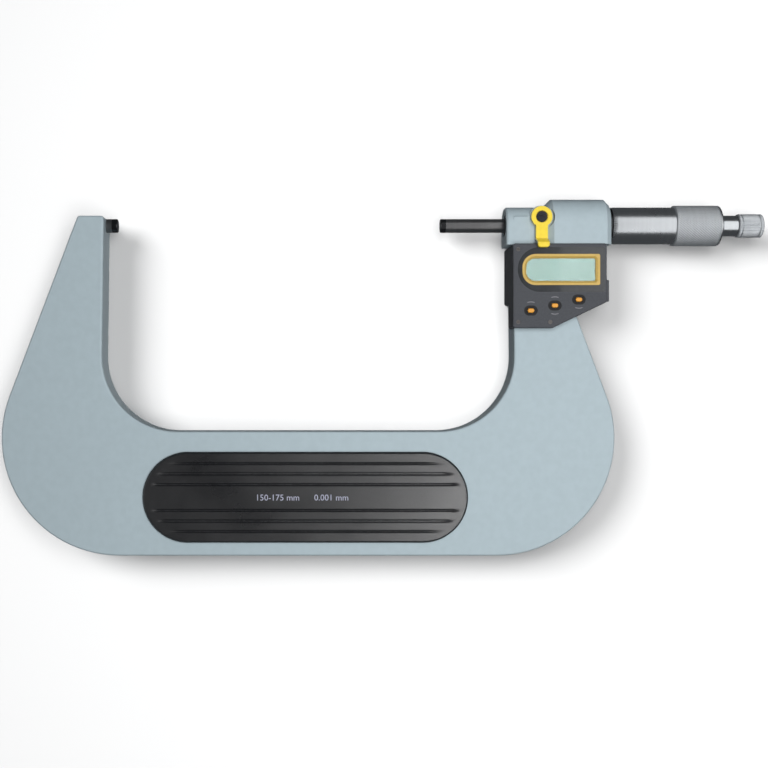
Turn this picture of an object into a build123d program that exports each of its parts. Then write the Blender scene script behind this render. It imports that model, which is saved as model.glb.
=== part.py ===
from build123d import *
import os
from math import acos, atan2, degrees, hypot

# Outside micrometer with a digital display, 150 to 175 mm.
# Millimetres. The origin is the centre of the anvil's measuring face. X runs along the measuring
# axis to the spindle, Y away from the beam of the frame, Z out of the display.

os.makedirs("parts", exist_ok=True)

# ---- fits ----
slide_gap = 0.03  # radial play of a guided shaft
pass_gap = 0.15  # radial play where a part only passes another
end_gap = 0.1  # axial play of a captive part

# ---- measuring range ----
gap = 150.0  # between the measuring faces, spindle fully out
travel = 25.0
face_radius = 3.175
tip_length = 2.5
tip_chamfer = 0.3

# ---- frame ----
frame_thickness = 17.0
frame_edge = 1.0  # rounding of the casting's edges
anvil_reach = 5.2  # anvil out of its arm
arm_top_y = 3.7
arm_top_width = 12.0
arm_top_round = 1.5
throat_taper = 1.3  # each throat wall leans out by this much
throat_depth = 95.4
throat_fillet = 34.5
beam_height = 57.0
corner_radius = 54.0
corner_overhang = 34.9  # outermost point of the corner, beyond the arm's top outer edge
anvil_shank_radius = 2.5
anvil_shank_length = 8.5

# ---- head of the frame ----
spindle_reach = 29.8  # spindle out of the head, fully out
head_ledge = 2.6  # head out of its arm, into the throat
head_length = 18.2
head_skirt = 9.6  # underside of the head and of the encoder housing, below the axis
head_edge = 0.7
seal_width = 2.0
seal_setback = 0.5
bush_wall = 1.8
front_bush_length = 10.4
bush_spacing = 5.5  # clear length between the bushes
spigot_wall = 2.0
spigot_length = 5.0

# ---- encoder ----
encoder_housing_length = 29.5
encoder_housing_rise = 3.0  # proud of the head's flats, front and back
encoder_housing_crown = 3.6  # its round top above the head's
encoder_housing_chamfer = 3.0
encoder_housing_rear_chamfer = 2.3
encoder_wall = 1.4  # under the bore
stator_thickness = 1.6
rotor_hub_wall = 0.9
stator_hole_play = 0.4
rotor_disc_play = 0.4
rotor_disc_thickness = 1.2
sensing_gap = 0.6
key_width = 1.5
key_length = 4.0
key_depth = 0.8
key_from_stop = 8.0  # from the hub's front end to the key
keyway_play = 0.5  # beyond the key's travel, at each end
flex_thickness = 0.2
flex_width = 5.4
flex_drop = 5.0  # below the housing
flex_tail = 2.5
flex_lap = 2.0  # over the stator
flex_slot_play = 0.4

# ---- sleeve and nut ----
flange_length = 3.0
sleeve_step = 1.3  # inner tube's outside over the nut's
sleeve_wall = 1.0
sleeve_overlap = 8.0  # still inside the thimble at the upper limit
nut_lap = 8.5  # nut inside the sleeve
inner_tube_play = 0.7  # round the plain spindle
nut_wall = 1.9
nut_relief = 1.0  # end of the thread inside the sleeve
nut_length = 15.5
nut_slot_width = 0.5
nut_slot_length = 12.0
nut_slot_count = 3
thread_drop = 0.075  # crests below the plain spindle
thread_pitch = 0.5
thread_depth = 0.25
thread_relief = 2.0
thread_overrun = 3.0
thread_margin = 0.5
adjusting_nut_wall = 1.6
adjusting_nut_length = 5.0
adjusting_nut_gap = 1.0  # from the sleeve's end
adjusting_notch = 1.4
adjusting_notch_count = 4
collar_length = 1.2
collar_drop = 0.2  # below the thimble

# ---- thimble ----
thimble_gap = 0.2  # between the collar and the thimble at the lower limit
thimble_wall = 1.05
thimble_front_drop = 0.12
thimble_bevel = 1.9
thimble_tail = 5.4  # from the end of the thread to the thimble's end wall
thimble_end_wall = 4.7
thimble_end_drop = 2.7
thimble_end_taper = 1.7
grip_ring_rise = 0.85
grip_ring_length = 20.4
grip_ring_setback = 0.5
taper_step = 0.2  # taper's large end below the thread
taper_fall = 0.7

# ---- ratchet ----
ratchet_base_radius = 4.75
ratchet_base_length = 6.9
ratchet_tooth_height = 0.4
ratchet_tooth_count = 12
ratchet_tooth_margin = 0.5
ratchet_journal_radius = 1.5
ratchet_thread_radius = 1.25
ratchet_thread_length = 9.0
ratchet_screw_head_radius = 2.6
ratchet_screw_head_length = 1.6
driver_slot_width = 0.8
knob_radius = 5.4
knob_length = 11.6
knob_gap = 0.3
knob_bore_radius = 3.9
knob_cavity_length = 5.6
knob_wall = 1.2
knob_edge = 0.6
knob_recess_radius = 3.1
ratchet_disc_thickness = 1.4
ratchet_spring_wire = 0.25
ratchet_spring_turns = 4
ratchet_cap_thickness = 1.0
ratchet_cap_setback = 0.4

# ---- spindle lock ----
lock_y = 2.9
lock_boss_radius = 5.4
lock_spot_radius = 5.9
lock_seat_drop = 0.6  # boss below the head's flat
lock_pin_radius = 2.0
lock_shoe_drop = 3.9  # shoe's back below the head's flat
lock_collar_radius = 3.4
lock_recess_width = 10.4
lever_ring_radius = 4.8
lever_lift = 0.25
lever_thickness = 2.2
lever_tail_width = 5.4
lever_tail_reach = 14.5
lever_bend_start = 10.0
lever_bend_end = 12.0
lever_tip_lift = 4.7
lever_counterbore_radius = 2.8
lever_counterbore_depth = 1.2
lock_screw_head_radius = 2.5
lock_screw_head_length = 1.1
lock_screw_length = 4.0
lock_screw_shank_radius = 1.0

# ---- display ----
display_left_lip = 0.5  # casing beyond the arm's throat wall at its top
display_width = 42.7
display_height = 38.5
display_slope_drop = 26.7  # right side's height, above the sloping edge
display_slope_start = 18.1  # flat lower edge
display_corner = 1.2
display_rise = 4.5  # casing above the frame's face, front and back
casing_wall = 1.4
boss_radius = 1.6
rear_casing_height = 26.9
rear_step_x = 24.0
rear_slope_end = 29.6
pocket_depth = 1.6
board_thickness = 1.0
board_play = 0.2
board_left = 5.1
board_height = 33.7
cover_screw_head_radius = 0.95
cover_screw_head_length = 0.9
cover_screw_radius = 0.55
cover_screw_length = 8.0
cover_screw_side = 2.3  # from the casing's left side
cover_screw_inset = 2.7  # from its top and lower edges
cover_slot_width = 0.3
second_screw_x = 16.9

bezel_height = 20.4
bezel_depth = 0.8
bezel_proud = 0.1
bezel_side_margin = 0.9
bezel_left = 2.1
bezel_left_flat = 0.02  # straight between the round corners of its left end
bezel_top = 1.7
window_right = 3.2  # from the casing's right side
window_height = 14.1
window_left = 4.2
window_top = 4.9
window_round = 6.0
window_small_round = 0.8
border_width = 1.9
border_proud = 0.3
lens_lap = 0.3
lcd_lap = 0.5
lcd_thickness = 1.9
connector_width = 1.4

button_length = 3.0
button_width = 1.9
button_edge = 0.4
button_proud = 0.6
button_travel = 0.6
button_flange_radius = 2.4
button_flange_thickness = 0.9
button_stem_radius = 0.9
button_stem_gap = 0.3  # over the switch dome, button pressed
button_places = ((8.1, 30.6), (19.0, 28.3), (29.9, 25.6))  # right of, and below, the casing's corner
button_seal_length = 6.2
button_seal_width = 4.6
button_seal_depth = 0.8
dome_radius = 1.8
dome_height = 0.8

battery_radius = 5.8
battery_thickness = 5.4
battery_from_right = 9.7  # centre from the casing's right side
battery_from_top = 11.6
battery_cap_radius = 7.1
battery_cap_thickness = 0.8
battery_neck_length = 1.0
battery_neck_margin = 0.3  # cap's neck wider than the cell
battery_seal_thickness = 0.4
battery_boss_length = 2.2
coin_slot_width = 1.6
coin_slot_depth = 0.5
holder_wall = 0.9
contact_radius = 1.2

port_height = 8.6
port_width = 6.8
port_flange = 0.7
port_proud = 2.0
port_below_top = 17.0
port_z = 5.0
socket_depth = 4.0
socket_inset = 1.0

# ---- grip plates ----
grip_length = 149.0
grip_height = 41.5
grip_thickness = 2.2
grip_rim = 2.6
grip_rim_depth = 0.9
grip_below_floor = 9.3
grip_left_shift = -1.2  # from the middle of the frame
groove_width = 1.2
groove_depth = 0.5
groove_first = 6.0  # from the plate's middle line
groove_pitch = 4.8
groove_count = 3  # on each side of the middle line
grip_peg_radius = 2.5
grip_peg_length = 3.0
grip_peg_spacing = 90.0

# ---- places worked out from the sizes above ----
half_thickness = frame_thickness / 2
head_start = gap + spindle_reach
head_end = head_start + head_length
throat_left = -anvil_reach
throat_right = head_start + head_ledge
middle_x = (throat_left + throat_right) / 2
throat_floor = -throat_depth
bottom_y = throat_floor - beam_height
arm_outer_x = throat_left - arm_top_width
corner_x = arm_outer_x - corner_overhang + corner_radius
corner_y = bottom_y + corner_radius

shaft_bore = face_radius + slide_gap
bush_radius = shaft_bore + bush_wall
spigot_radius = bush_radius + spigot_wall
middle_bore_radius = face_radius + pass_gap
front_bush_start = head_start + seal_setback + seal_width
front_bush_end = front_bush_start + front_bush_length
rear_bush_start = front_bush_end + bush_spacing
spigot_end = head_end + spigot_length

encoder_housing_end = head_end + encoder_housing_length
encoder_half_depth = half_thickness + encoder_housing_rise
encoder_housing_top = half_thickness + encoder_housing_crown
encoder_bore_radius = head_skirt - encoder_wall
rotor_hub_radius = shaft_bore + rotor_hub_wall
rotor_disc_radius = encoder_bore_radius - rotor_disc_play
stator_hole_radius = rotor_hub_radius + stator_hole_play
inner_tube_bore = face_radius + inner_tube_play
thread_radius = face_radius - thread_drop
nut_radius = thread_radius + nut_wall
sleeve_inner_radius = nut_radius + sleeve_step
sleeve_outer_radius = sleeve_inner_radius + sleeve_wall
adjusting_nut_radius = nut_radius + adjusting_nut_wall
flange_start = encoder_housing_end - flange_length
rotor_start = spigot_end + end_gap
rotor_end = flange_start - end_gap
stator_start = spigot_end + sensing_gap
stator_end = stator_start + stator_thickness
rotor_disc_start = stator_end + sensing_gap
rotor_disc_end = rotor_disc_start + rotor_disc_thickness
key_start = rotor_start + key_from_stop
sleeve_end = encoder_housing_end + travel + sleeve_overlap
nut_start = sleeve_end - nut_lap
nut_end = nut_start + nut_length
adjusting_nut_start = sleeve_end + adjusting_nut_gap

thimble_radius = sleeve_outer_radius + pass_gap + thimble_wall
thimble_front_radius = thimble_radius - thimble_front_drop
thimble_end_radius = thimble_radius - thimble_end_drop
grip_ring_radius = thimble_radius + grip_ring_rise
collar_radius = thimble_radius - collar_drop
taper_large_radius = thread_radius - taper_step
taper_small_radius = taper_large_radius - taper_fall
collar_end = encoder_housing_end + collar_length
thimble_start = collar_end + thimble_gap
thimble_wall_start = nut_end + thread_overrun + thimble_tail
thimble_end = thimble_wall_start + thimble_end_wall
thimble_shoulder = thimble_end - thimble_end_taper
grip_ring_end = thimble_shoulder - grip_ring_setback
grip_ring_start = grip_ring_end - grip_ring_length
thread_start = nut_start - travel - thread_margin
thread_end = nut_end + thread_overrun

ratchet_base_end = thimble_end + ratchet_base_length
knob_start = ratchet_base_end + knob_gap
knob_end = knob_start + knob_length
knob_wall_start = knob_start + knob_cavity_length
knob_wall_end = knob_wall_start + knob_wall
screw_head_start = knob_wall_end + end_gap
ratchet_disc_start = ratchet_base_end + ratchet_tooth_height + end_gap
ratchet_disc_end = ratchet_disc_start + ratchet_disc_thickness

casing_left = throat_right - display_left_lip
casing_right = casing_left + display_width
window_width = display_width - window_left - window_right
casing_top = -head_skirt
casing_front = half_thickness + display_rise
casing_inside = casing_front - casing_wall
board_back = half_thickness - pocket_depth
board_front = board_back + board_thickness
recess_floor = casing_front - bezel_depth
lcd_front = casing_inside - end_gap
lcd_back = lcd_front - lcd_thickness
button_flange_front = casing_inside - end_gap
button_flange_back = button_flange_front - button_flange_thickness
button_stem_end = board_front + dome_height + button_travel + button_stem_gap
button_centres = [(casing_left + right, casing_top - down) for right, down in button_places]
port_centre_y = casing_top - port_below_top - port_height / 2

battery_centre = (casing_right - battery_from_right, casing_top - battery_from_top)
cap_flange_inside = -casing_front + battery_cap_thickness
cap_seat = cap_flange_inside + battery_seal_thickness
cap_neck_end = cap_flange_inside + battery_neck_length
cap_neck_radius = battery_radius + battery_neck_margin
battery_back = cap_neck_end + end_gap
battery_front = battery_back + battery_thickness
battery_boss_end = cap_seat + battery_boss_length

lock_centre = (front_bush_end + bush_spacing / 2, lock_y)
lock_seat = half_thickness - lock_seat_drop
lock_shoe_top = half_thickness - lock_shoe_drop
lever_back = half_thickness + lever_lift
lever_front = lever_back + lever_thickness
lever_counterbore_floor = lever_front - lever_counterbore_depth

grip_centre = (middle_x + grip_left_shift, throat_floor - grip_below_floor - grip_height / 2)
grip_front_z = half_thickness + grip_thickness
peg_centres = [(grip_centre[0] + side * grip_peg_spacing / 2, grip_centre[1]) for side in (-1, 1)]


# ---- shapes that several pieces share ----
def turn(points):
    """Solid of revolution about the measuring axis, from a closed outline of (x, radius) points."""
    with BuildSketch(Plane.XY) as outline:
        with BuildLine():
            Polyline(*points, close=True)
        make_face()
    revolve(outline.sketch, axis=Axis.X)


def tube(start, end, outer, inner):
    """Tube along the measuring axis."""
    turn([(start, inner), (end, inner), (end, outer), (start, outer)])


def bore(start, end, radius):
    """Round hole along the measuring axis."""
    with BuildSketch(Plane.YZ.offset(start)) as mouth:
        Circle(radius)
    extrude(mouth.sketch, amount=end - start, mode=Mode.SUBTRACT)


def post(centre, radius, low, high, mode=Mode.ADD):
    """Round post or hole along Z."""
    with BuildSketch(Plane.XY.offset(low)) as foot:
        with Locations(centre):
            Circle(radius)
    extrude(foot.sketch, amount=high - low, mode=mode)


def oval_post(centre, length, width, low, high, mode=Mode.ADD):
    """Post or hole along Z with round ends."""
    with BuildSketch(Plane.XY.offset(low)) as foot:
        with Locations(centre):
            SlotOverall(length, width)
    extrude(foot.sketch, amount=high - low, mode=mode)


def button_hole(centre):
    """Hole round a button, through the casing's face and the seal in it."""
    length = button_length + 2 * pass_gap
    width = button_width + 2 * pass_gap
    oval_post(centre, length, width, casing_inside, casing_front, mode=Mode.SUBTRACT)


def slab(left, right, low, high, back, front, mode=Mode.ADD):
    """Rectangular block between three pairs of planes."""
    with BuildSketch(Plane.XY.offset(back)) as base:
        with Locations(((left + right) / 2, (low + high) / 2)):
            Rectangle(right - left, high - low)
    extrude(base.sketch, amount=front - back, mode=mode)


def plate(face, back, front, mode=Mode.ADD):
    """A flat outline made into a plate between two heights."""
    extrude(Plane.XY.offset(back) * face, amount=front - back, mode=mode)


def arch(start, end, half_width, top, bottom):
    """Block along X with flat sides and a round top, for the head and the encoder housing."""
    shoulder = top - half_width
    with BuildSketch(Plane.YZ.offset(start)) as section:
        with BuildLine():
            sides = Polyline(
                (shoulder, half_width),
                (-bottom, half_width),
                (-bottom, -half_width),
                (shoulder, -half_width),
            )
            ThreePointArc(sides @ 1, (top, 0), sides @ 0)
        make_face()
    extrude(section.sketch, amount=end - start)


def half_frame_face():
    """Anvil half of the frame's face, from the middle of the beam to the arm's top."""
    reach = hypot(arm_outer_x - corner_x, arm_top_y - corner_y)
    facing = atan2(arm_top_y - corner_y, arm_outer_x - corner_x)
    touch = degrees(facing + acos(corner_radius / reach))
    with BuildSketch() as half:
        with BuildLine():
            corner = CenterArc((corner_x, corner_y), corner_radius, touch, 270 - touch)
            Polyline(
                corner @ 1,
                (middle_x, bottom_y),
                (middle_x, throat_floor),
                (throat_left - throat_taper, throat_floor),
                (throat_left, arm_top_y),
                (arm_outer_x, arm_top_y),
                corner @ 0,
            )
        make_face()
        fillet(half.vertices().group_by(Axis.Y)[-1], arm_top_round)
        inner_corner = (throat_left - throat_taper, throat_floor)
        fillet(half.vertices().sort_by_distance(inner_corner)[0], throat_fillet)
    return half.sketch


def casing_face(inset=0.0, rear=False):
    """Outline of the display casing from the front; the rear one stops higher over the arm."""
    slope = (display_height - display_slope_drop) / (display_width - display_slope_start)
    shoulder = casing_top - display_slope_drop
    low_corners = (
        (casing_left + display_slope_start, casing_top - display_height),
        (casing_left, casing_top - display_height),
    )
    if rear:
        low_corners = (
            (casing_left + rear_slope_end, shoulder - slope * (display_width - rear_slope_end)),
            (casing_left + rear_step_x, casing_top - rear_casing_height),
            (casing_left, casing_top - rear_casing_height),
        )
    with BuildSketch() as face:
        with BuildLine():
            Polyline(
                (casing_left, casing_top),
                (casing_right, casing_top),
                (casing_right, shoulder),
                *low_corners,
                close=True,
            )
        make_face()
        if inset:
            offset(amount=-inset, kind=Kind.INTERSECTION)
        else:
            fillet(face.vertices(), display_corner)
    return face.sketch


def board_face(play=0.0):
    """Outline of the circuit board, grown by a play for the pocket that holds it."""
    with BuildSketch() as face:
        add(casing_face(inset=casing_wall + board_play - play))
        left = casing_left + board_left - play
        low = casing_top - board_height - play
        with Locations((left, low)):
            Rectangle(display_width, display_height, align=(Align.MIN, Align.MIN), mode=Mode.INTERSECT)
    return face.sketch


def round_ended(left, right, low, high, left_round, right_round):
    """Rectangle with its left corners rounded more than its right ones."""
    with BuildSketch() as face:
        with Locations((left, low)):
            Rectangle(right - left, high - low, align=(Align.MIN, Align.MIN))
        fillet(face.vertices().sort_by(Axis.X)[:2], left_round)
        fillet(face.vertices().sort_by(Axis.X)[-2:], right_round)
    return face.sketch


def window_face(inset=0.0):
    """Outline of the display window, drawn in by an inset."""
    left = casing_left + window_left
    top = casing_top - window_top
    return round_ended(
        left + inset,
        left + window_width - inset,
        top - window_height + inset,
        top - inset,
        window_round - inset,
        window_small_round,
    )


def bezel_face():
    """Outline of the dark plate round the window: a full round at its left end."""
    top = casing_top - bezel_top
    return round_ended(
        casing_left + bezel_left,
        casing_right - bezel_side_margin,
        top - bezel_height,
        top,
        (bezel_height - bezel_left_flat) / 2,
        window_small_round,
    )


def screw_places(side):
    """Heads of the casing's screws, on the front (side 1) or the back (side -1)."""
    left = casing_left + cover_screw_side
    height = display_height if side > 0 else rear_casing_height
    low = casing_top - height + cover_screw_inset
    return [(left, casing_top - cover_screw_inset), (left, low), (casing_left + second_screw_x, low)]


def screw_level(side, depth):
    """Height of a plane this far below the casing's face, on the front or the back."""
    return side * (casing_front - depth)


def between(side, near, far):
    """The two heights of a feature between two depths below the casing's face, lowest first."""
    return sorted((screw_level(side, near), screw_level(side, far)))


def casing_bosses(side):
    """Columns under the screw heads, with their holes."""
    for place in screw_places(side):
        post(place, boss_radius, *between(side, cover_screw_head_length, display_rise))
        post(place, cover_screw_head_radius, *between(side, 0, cover_screw_head_length), mode=Mode.SUBTRACT)
        post(place, cover_screw_radius, *between(side, 0, display_rise), mode=Mode.SUBTRACT)


def flex_slot():
    """Slot that lets the encoder's ribbon out of its housing and into the casing."""
    slab(
        stator_end - flex_slot_play,
        stator_end + flex_thickness + flex_slot_play,
        casing_top - 2 * casing_wall,
        casing_top + 2 * casing_wall,
        -flex_width / 2 - flex_slot_play,
        flex_width / 2 + flex_slot_play,
        mode=Mode.SUBTRACT,
    )


def port_plug(depth_start, depth_end, mode=Mode.ADD, grow=0.0):
    """Block through the casing's right side, for the port's opening and its plug."""
    slab(
        depth_start,
        depth_end,
        port_centre_y - port_height / 2 - grow,
        port_centre_y + port_height / 2 + grow,
        port_z - port_width / 2 - grow,
        port_z + port_width / 2 + grow,
        mode=mode,
    )


def grip_outline(inset=0.0):
    """Long round-ended outline of a grip plate."""
    with BuildSketch() as outline:
        with Locations(grip_centre):
            SlotOverall(grip_length - 2 * inset, grip_height - 2 * inset)
    return outline.sketch


def grip_grooves():
    """Long grooves above and below a grip plate's plain middle band."""
    with BuildSketch() as grooves:
        for row in range(groove_count):
            for side in (-1, 1):
                away = side * (groove_first + row * groove_pitch)
                with Locations((grip_centre[0], grip_centre[1] + away)):
                    Rectangle(grip_length, groove_width)
        add(grip_outline(inset=grip_rim + groove_width), mode=Mode.INTERSECT)
    return grooves.sketch


# ---- frame ----
with BuildPart() as arms:
    with BuildSketch() as arms_face:
        add(half_frame_face())
        mirror(about=Plane.YZ.offset(middle_x))
    extrude(amount=half_thickness, both=True)

with BuildPart() as frame:
    add(arms.part)
    rim = frame.faces().filter_by(Axis.Z).edges()
    fillet(rim, frame_edge)
    arch(head_start, head_end, half_thickness, half_thickness, head_skirt)
    head_rim = frame.faces().sort_by_distance((head_start, 0, 0))[0].edges()
    chamfer(head_rim.sort_by(Axis.Y)[1:], head_edge)
    post(lock_centre, lock_boss_radius, 0, lock_seat)
    slab(
        head_end,
        encoder_housing_end,
        -head_skirt,
        encoder_housing_top,
        -encoder_half_depth,
        encoder_half_depth,
        mode=Mode.SUBTRACT,
    )
    tube(head_end, spigot_end, spigot_radius, bush_radius)
    post(lock_centre, lock_spot_radius, lock_seat, 2 * lock_seat, mode=Mode.SUBTRACT)
    slab(
        lock_centre[0] - lock_recess_width / 2,
        head_end,
        -head_skirt,
        lock_y,
        lock_seat,
        half_thickness,
        mode=Mode.SUBTRACT,
    )
    bore(head_start, front_bush_end, bush_radius)
    bore(front_bush_end, rear_bush_start, middle_bore_radius)
    bore(rear_bush_start, spigot_end, bush_radius)
    post(lock_centre, lock_pin_radius + slide_gap, 0, lock_seat, mode=Mode.SUBTRACT)
    bore(throat_left - anvil_shank_length, throat_left + frame_edge, anvil_shank_radius)
    plate(board_face(play=board_play), board_back, half_thickness, mode=Mode.SUBTRACT)
    for side in (-1, 1):
        for place in screw_places(side):
            hole = between(side, cover_screw_head_length, cover_screw_head_length + cover_screw_length)
            post(place, cover_screw_radius, *hole, mode=Mode.SUBTRACT)
        for place in peg_centres:
            peg = sorted((side * half_thickness, side * (half_thickness - grip_peg_length)))
            post(place, grip_peg_radius, *peg, mode=Mode.SUBTRACT)
frame.part.label = "frame"
export_step(frame.part, "parts/frame.step")

# ---- anvil ----
with BuildPart() as anvil:
    turn([
        (throat_left - anvil_shank_length, 0),
        (throat_left - anvil_shank_length, anvil_shank_radius),
        (throat_left, anvil_shank_radius),
        (throat_left, face_radius),
        (-tip_length, face_radius),
        (-tip_length, 0),
    ])
anvil.part.label = "anvil"
export_step(anvil.part, "parts/anvil.step")

with BuildPart() as anvil_tip:
    turn([
        (-tip_length, 0),
        (-tip_length, face_radius),
        (-tip_chamfer, face_radius),
        (0, face_radius - tip_chamfer),
        (0, 0),
    ])
anvil_tip.part.label = "anvil_tip"
export_step(anvil_tip.part, "parts/anvil_tip.step")

# ---- spindle guides in the head ----
with BuildPart() as spindle_seal:
    tube(head_start + seal_setback, front_bush_start, bush_radius, shaft_bore)
spindle_seal.part.label = "spindle_seal"
export_step(spindle_seal.part, "parts/spindle_seal.step")

with BuildPart() as front_bush:
    tube(front_bush_start, front_bush_end, bush_radius, shaft_bore)
front_bush.part.label = "front_bush"
export_step(front_bush.part, "parts/front_bush.step")

with BuildPart() as rear_bush:
    tube(rear_bush_start, spigot_end, bush_radius, shaft_bore)
rear_bush.part.label = "rear_bush"
export_step(rear_bush.part, "parts/rear_bush.step")

# ---- spindle ----
with BuildPart() as spindle:
    thread = []
    for ridge in range(int((thread_end - thread_start) / thread_pitch)):
        crest = thread_start + ridge * thread_pitch
        thread.append((crest, thread_radius))
        thread.append((crest + thread_pitch / 2, thread_radius - thread_depth))
    turn([
        (gap + tip_length, 0),
        (gap + tip_length, face_radius),
        (thread_start - thread_relief, face_radius),
        (thread_start - thread_relief, thread_radius - 2 * thread_depth),
        (thread_start, thread_radius - 2 * thread_depth),
        *thread,
        (thread_end, thread_radius),
        (thread_end, taper_large_radius),
        (thimble_wall_start, taper_large_radius),
        (thimble_end, taper_small_radius),
        (thimble_end, 0),
    ])
    bore(thimble_end - ratchet_thread_length, thimble_end, ratchet_thread_radius)
    slab(
        key_start - travel - keyway_play,
        key_start + key_length + keyway_play,
        -key_width / 2 - slide_gap,
        key_width / 2 + slide_gap,
        face_radius - key_depth - end_gap,
        face_radius + key_depth,
        mode=Mode.SUBTRACT,
    )
spindle.part.label = "spindle"
export_step(spindle.part, "parts/spindle.step")

with BuildPart() as spindle_tip:
    turn([
        (gap, 0),
        (gap, face_radius - tip_chamfer),
        (gap + tip_chamfer, face_radius),
        (gap + tip_length, face_radius),
        (gap + tip_length, 0),
    ])
spindle_tip.part.label = "spindle_tip"
export_step(spindle_tip.part, "parts/spindle_tip.step")

# ---- encoder ----
with BuildPart() as encoder_housing:
    arch(head_end, encoder_housing_end, encoder_half_depth, encoder_housing_top, head_skirt)
    front_rim = encoder_housing.faces().sort_by(Axis.X)[0].edges().sort_by(Axis.Y)[1:]
    chamfer(front_rim, encoder_housing_chamfer)
    rear_rim = encoder_housing.faces().sort_by(Axis.X)[-1].edges().sort_by(Axis.Y)[1:]
    chamfer(rear_rim, encoder_housing_rear_chamfer)
    bore(head_end, spigot_end, spigot_radius)
    bore(spigot_end, encoder_housing_end, encoder_bore_radius)
    post(lock_centre, lock_spot_radius, lock_seat, encoder_half_depth, mode=Mode.SUBTRACT)
    flex_slot()
encoder_housing.part.label = "encoder_housing"
export_step(encoder_housing.part, "parts/encoder_housing.step")

with BuildPart() as encoder_stator:
    tube(stator_start, stator_end, encoder_bore_radius, stator_hole_radius)
encoder_stator.part.label = "encoder_stator"
export_step(encoder_stator.part, "parts/encoder_stator.step")

with BuildPart() as encoder_rotor:
    turn([
        (rotor_start, shaft_bore),
        (rotor_end, shaft_bore),
        (rotor_end, rotor_hub_radius),
        (rotor_disc_end, rotor_hub_radius),
        (rotor_disc_end, rotor_disc_radius),
        (rotor_disc_start, rotor_disc_radius),
        (rotor_disc_start, rotor_hub_radius),
        (rotor_start, rotor_hub_radius),
    ])
    slab(
        key_start,
        key_start + key_length,
        -key_width / 2,
        key_width / 2,
        face_radius - key_depth,
        (shaft_bore + rotor_hub_radius) / 2,
    )
encoder_rotor.part.label = "encoder_rotor"
export_step(encoder_rotor.part, "parts/encoder_rotor.step")

with BuildPart() as encoder_flex:
    ribbon_low = casing_top - flex_drop
    ribbon_turn = ribbon_low + flex_tail
    ribbon_top = -stator_hole_radius - flex_lap
    with BuildSketch(Plane.YZ.offset(stator_end)) as ribbon:
        with BuildLine():
            Polyline(
                (ribbon_top, -flex_width / 2),
                (ribbon_top, flex_width / 2),
                (ribbon_turn, flex_width / 2),
                (ribbon_turn, board_back),
                (ribbon_low, board_back),
                (ribbon_low, -flex_width / 2),
                close=True,
            )
        make_face()
    extrude(amount=flex_thickness)
encoder_flex.part.label = "encoder_flex"
export_step(encoder_flex.part, "parts/encoder_flex.step")

# ---- sleeve and nut ----
with BuildPart() as inner_sleeve:
    turn([
        (flange_start, inner_tube_bore),
        (nut_start - nut_relief, inner_tube_bore),
        (nut_start - nut_relief, thread_radius + slide_gap),
        (nut_end, thread_radius + slide_gap),
        (nut_end, nut_radius),
        (nut_start, nut_radius),
        (nut_start, sleeve_inner_radius),
        (encoder_housing_end, sleeve_inner_radius),
        (encoder_housing_end, encoder_bore_radius),
        (flange_start, encoder_bore_radius),
    ])
    with BuildSketch(Plane.YZ.offset(nut_end)) as nut_slots:
        with PolarLocations(nut_radius, nut_slot_count):
            Rectangle(nut_radius, nut_slot_width)
    extrude(nut_slots.sketch, amount=-nut_slot_length, mode=Mode.SUBTRACT)
inner_sleeve.part.label = "inner_sleeve"
export_step(inner_sleeve.part, "parts/inner_sleeve.step")

with BuildPart() as adjusting_nut:
    tube(adjusting_nut_start, adjusting_nut_start + adjusting_nut_length, adjusting_nut_radius, nut_radius)
    with BuildSketch(Plane.YZ.offset(adjusting_nut_start + adjusting_nut_length)) as notches:
        with PolarLocations(adjusting_nut_radius, adjusting_notch_count):
            Rectangle(adjusting_notch, adjusting_notch)
    extrude(notches.sketch, amount=-adjusting_nut_length / 2, mode=Mode.SUBTRACT)
adjusting_nut.part.label = "adjusting_nut"
export_step(adjusting_nut.part, "parts/adjusting_nut.step")

with BuildPart() as outer_sleeve:
    tube(encoder_housing_end, sleeve_end, sleeve_outer_radius, sleeve_inner_radius)
outer_sleeve.part.label = "outer_sleeve"
export_step(outer_sleeve.part, "parts/outer_sleeve.step")

with BuildPart() as sleeve_collar:
    tube(encoder_housing_end, collar_end, collar_radius, sleeve_outer_radius)
    chamfer(sleeve_collar.edges().group_by(Axis.X)[-1].sort_by(SortBy.RADIUS)[-1], tip_chamfer)
sleeve_collar.part.label = "sleeve_collar"
export_step(sleeve_collar.part, "parts/sleeve_collar.step")

# ---- thimble ----
with BuildPart() as thimble:
    turn([
        (thimble_start, sleeve_outer_radius + pass_gap),
        (thimble_wall_start, sleeve_outer_radius + pass_gap),
        (thimble_wall_start, taper_large_radius),
        (thimble_end, taper_small_radius),
        (thimble_end, thimble_end_radius),
        (thimble_shoulder, grip_ring_radius),
        (grip_ring_end, grip_ring_radius),
        (grip_ring_end, thimble_radius),
        (thimble_start + thimble_bevel, thimble_radius),
        (thimble_start, thimble_front_radius),
    ])
thimble.part.label = "thimble"
export_step(thimble.part, "parts/thimble.step")

with BuildPart() as thimble_grip:
    tube(grip_ring_start, grip_ring_end, grip_ring_radius, thimble_radius)
    chamfer(thimble_grip.edges().group_by(Axis.X)[0].sort_by(SortBy.RADIUS)[-1], tip_chamfer)
thimble_grip.part.label = "thimble_grip"
export_step(thimble_grip.part, "parts/thimble_grip.step")

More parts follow.
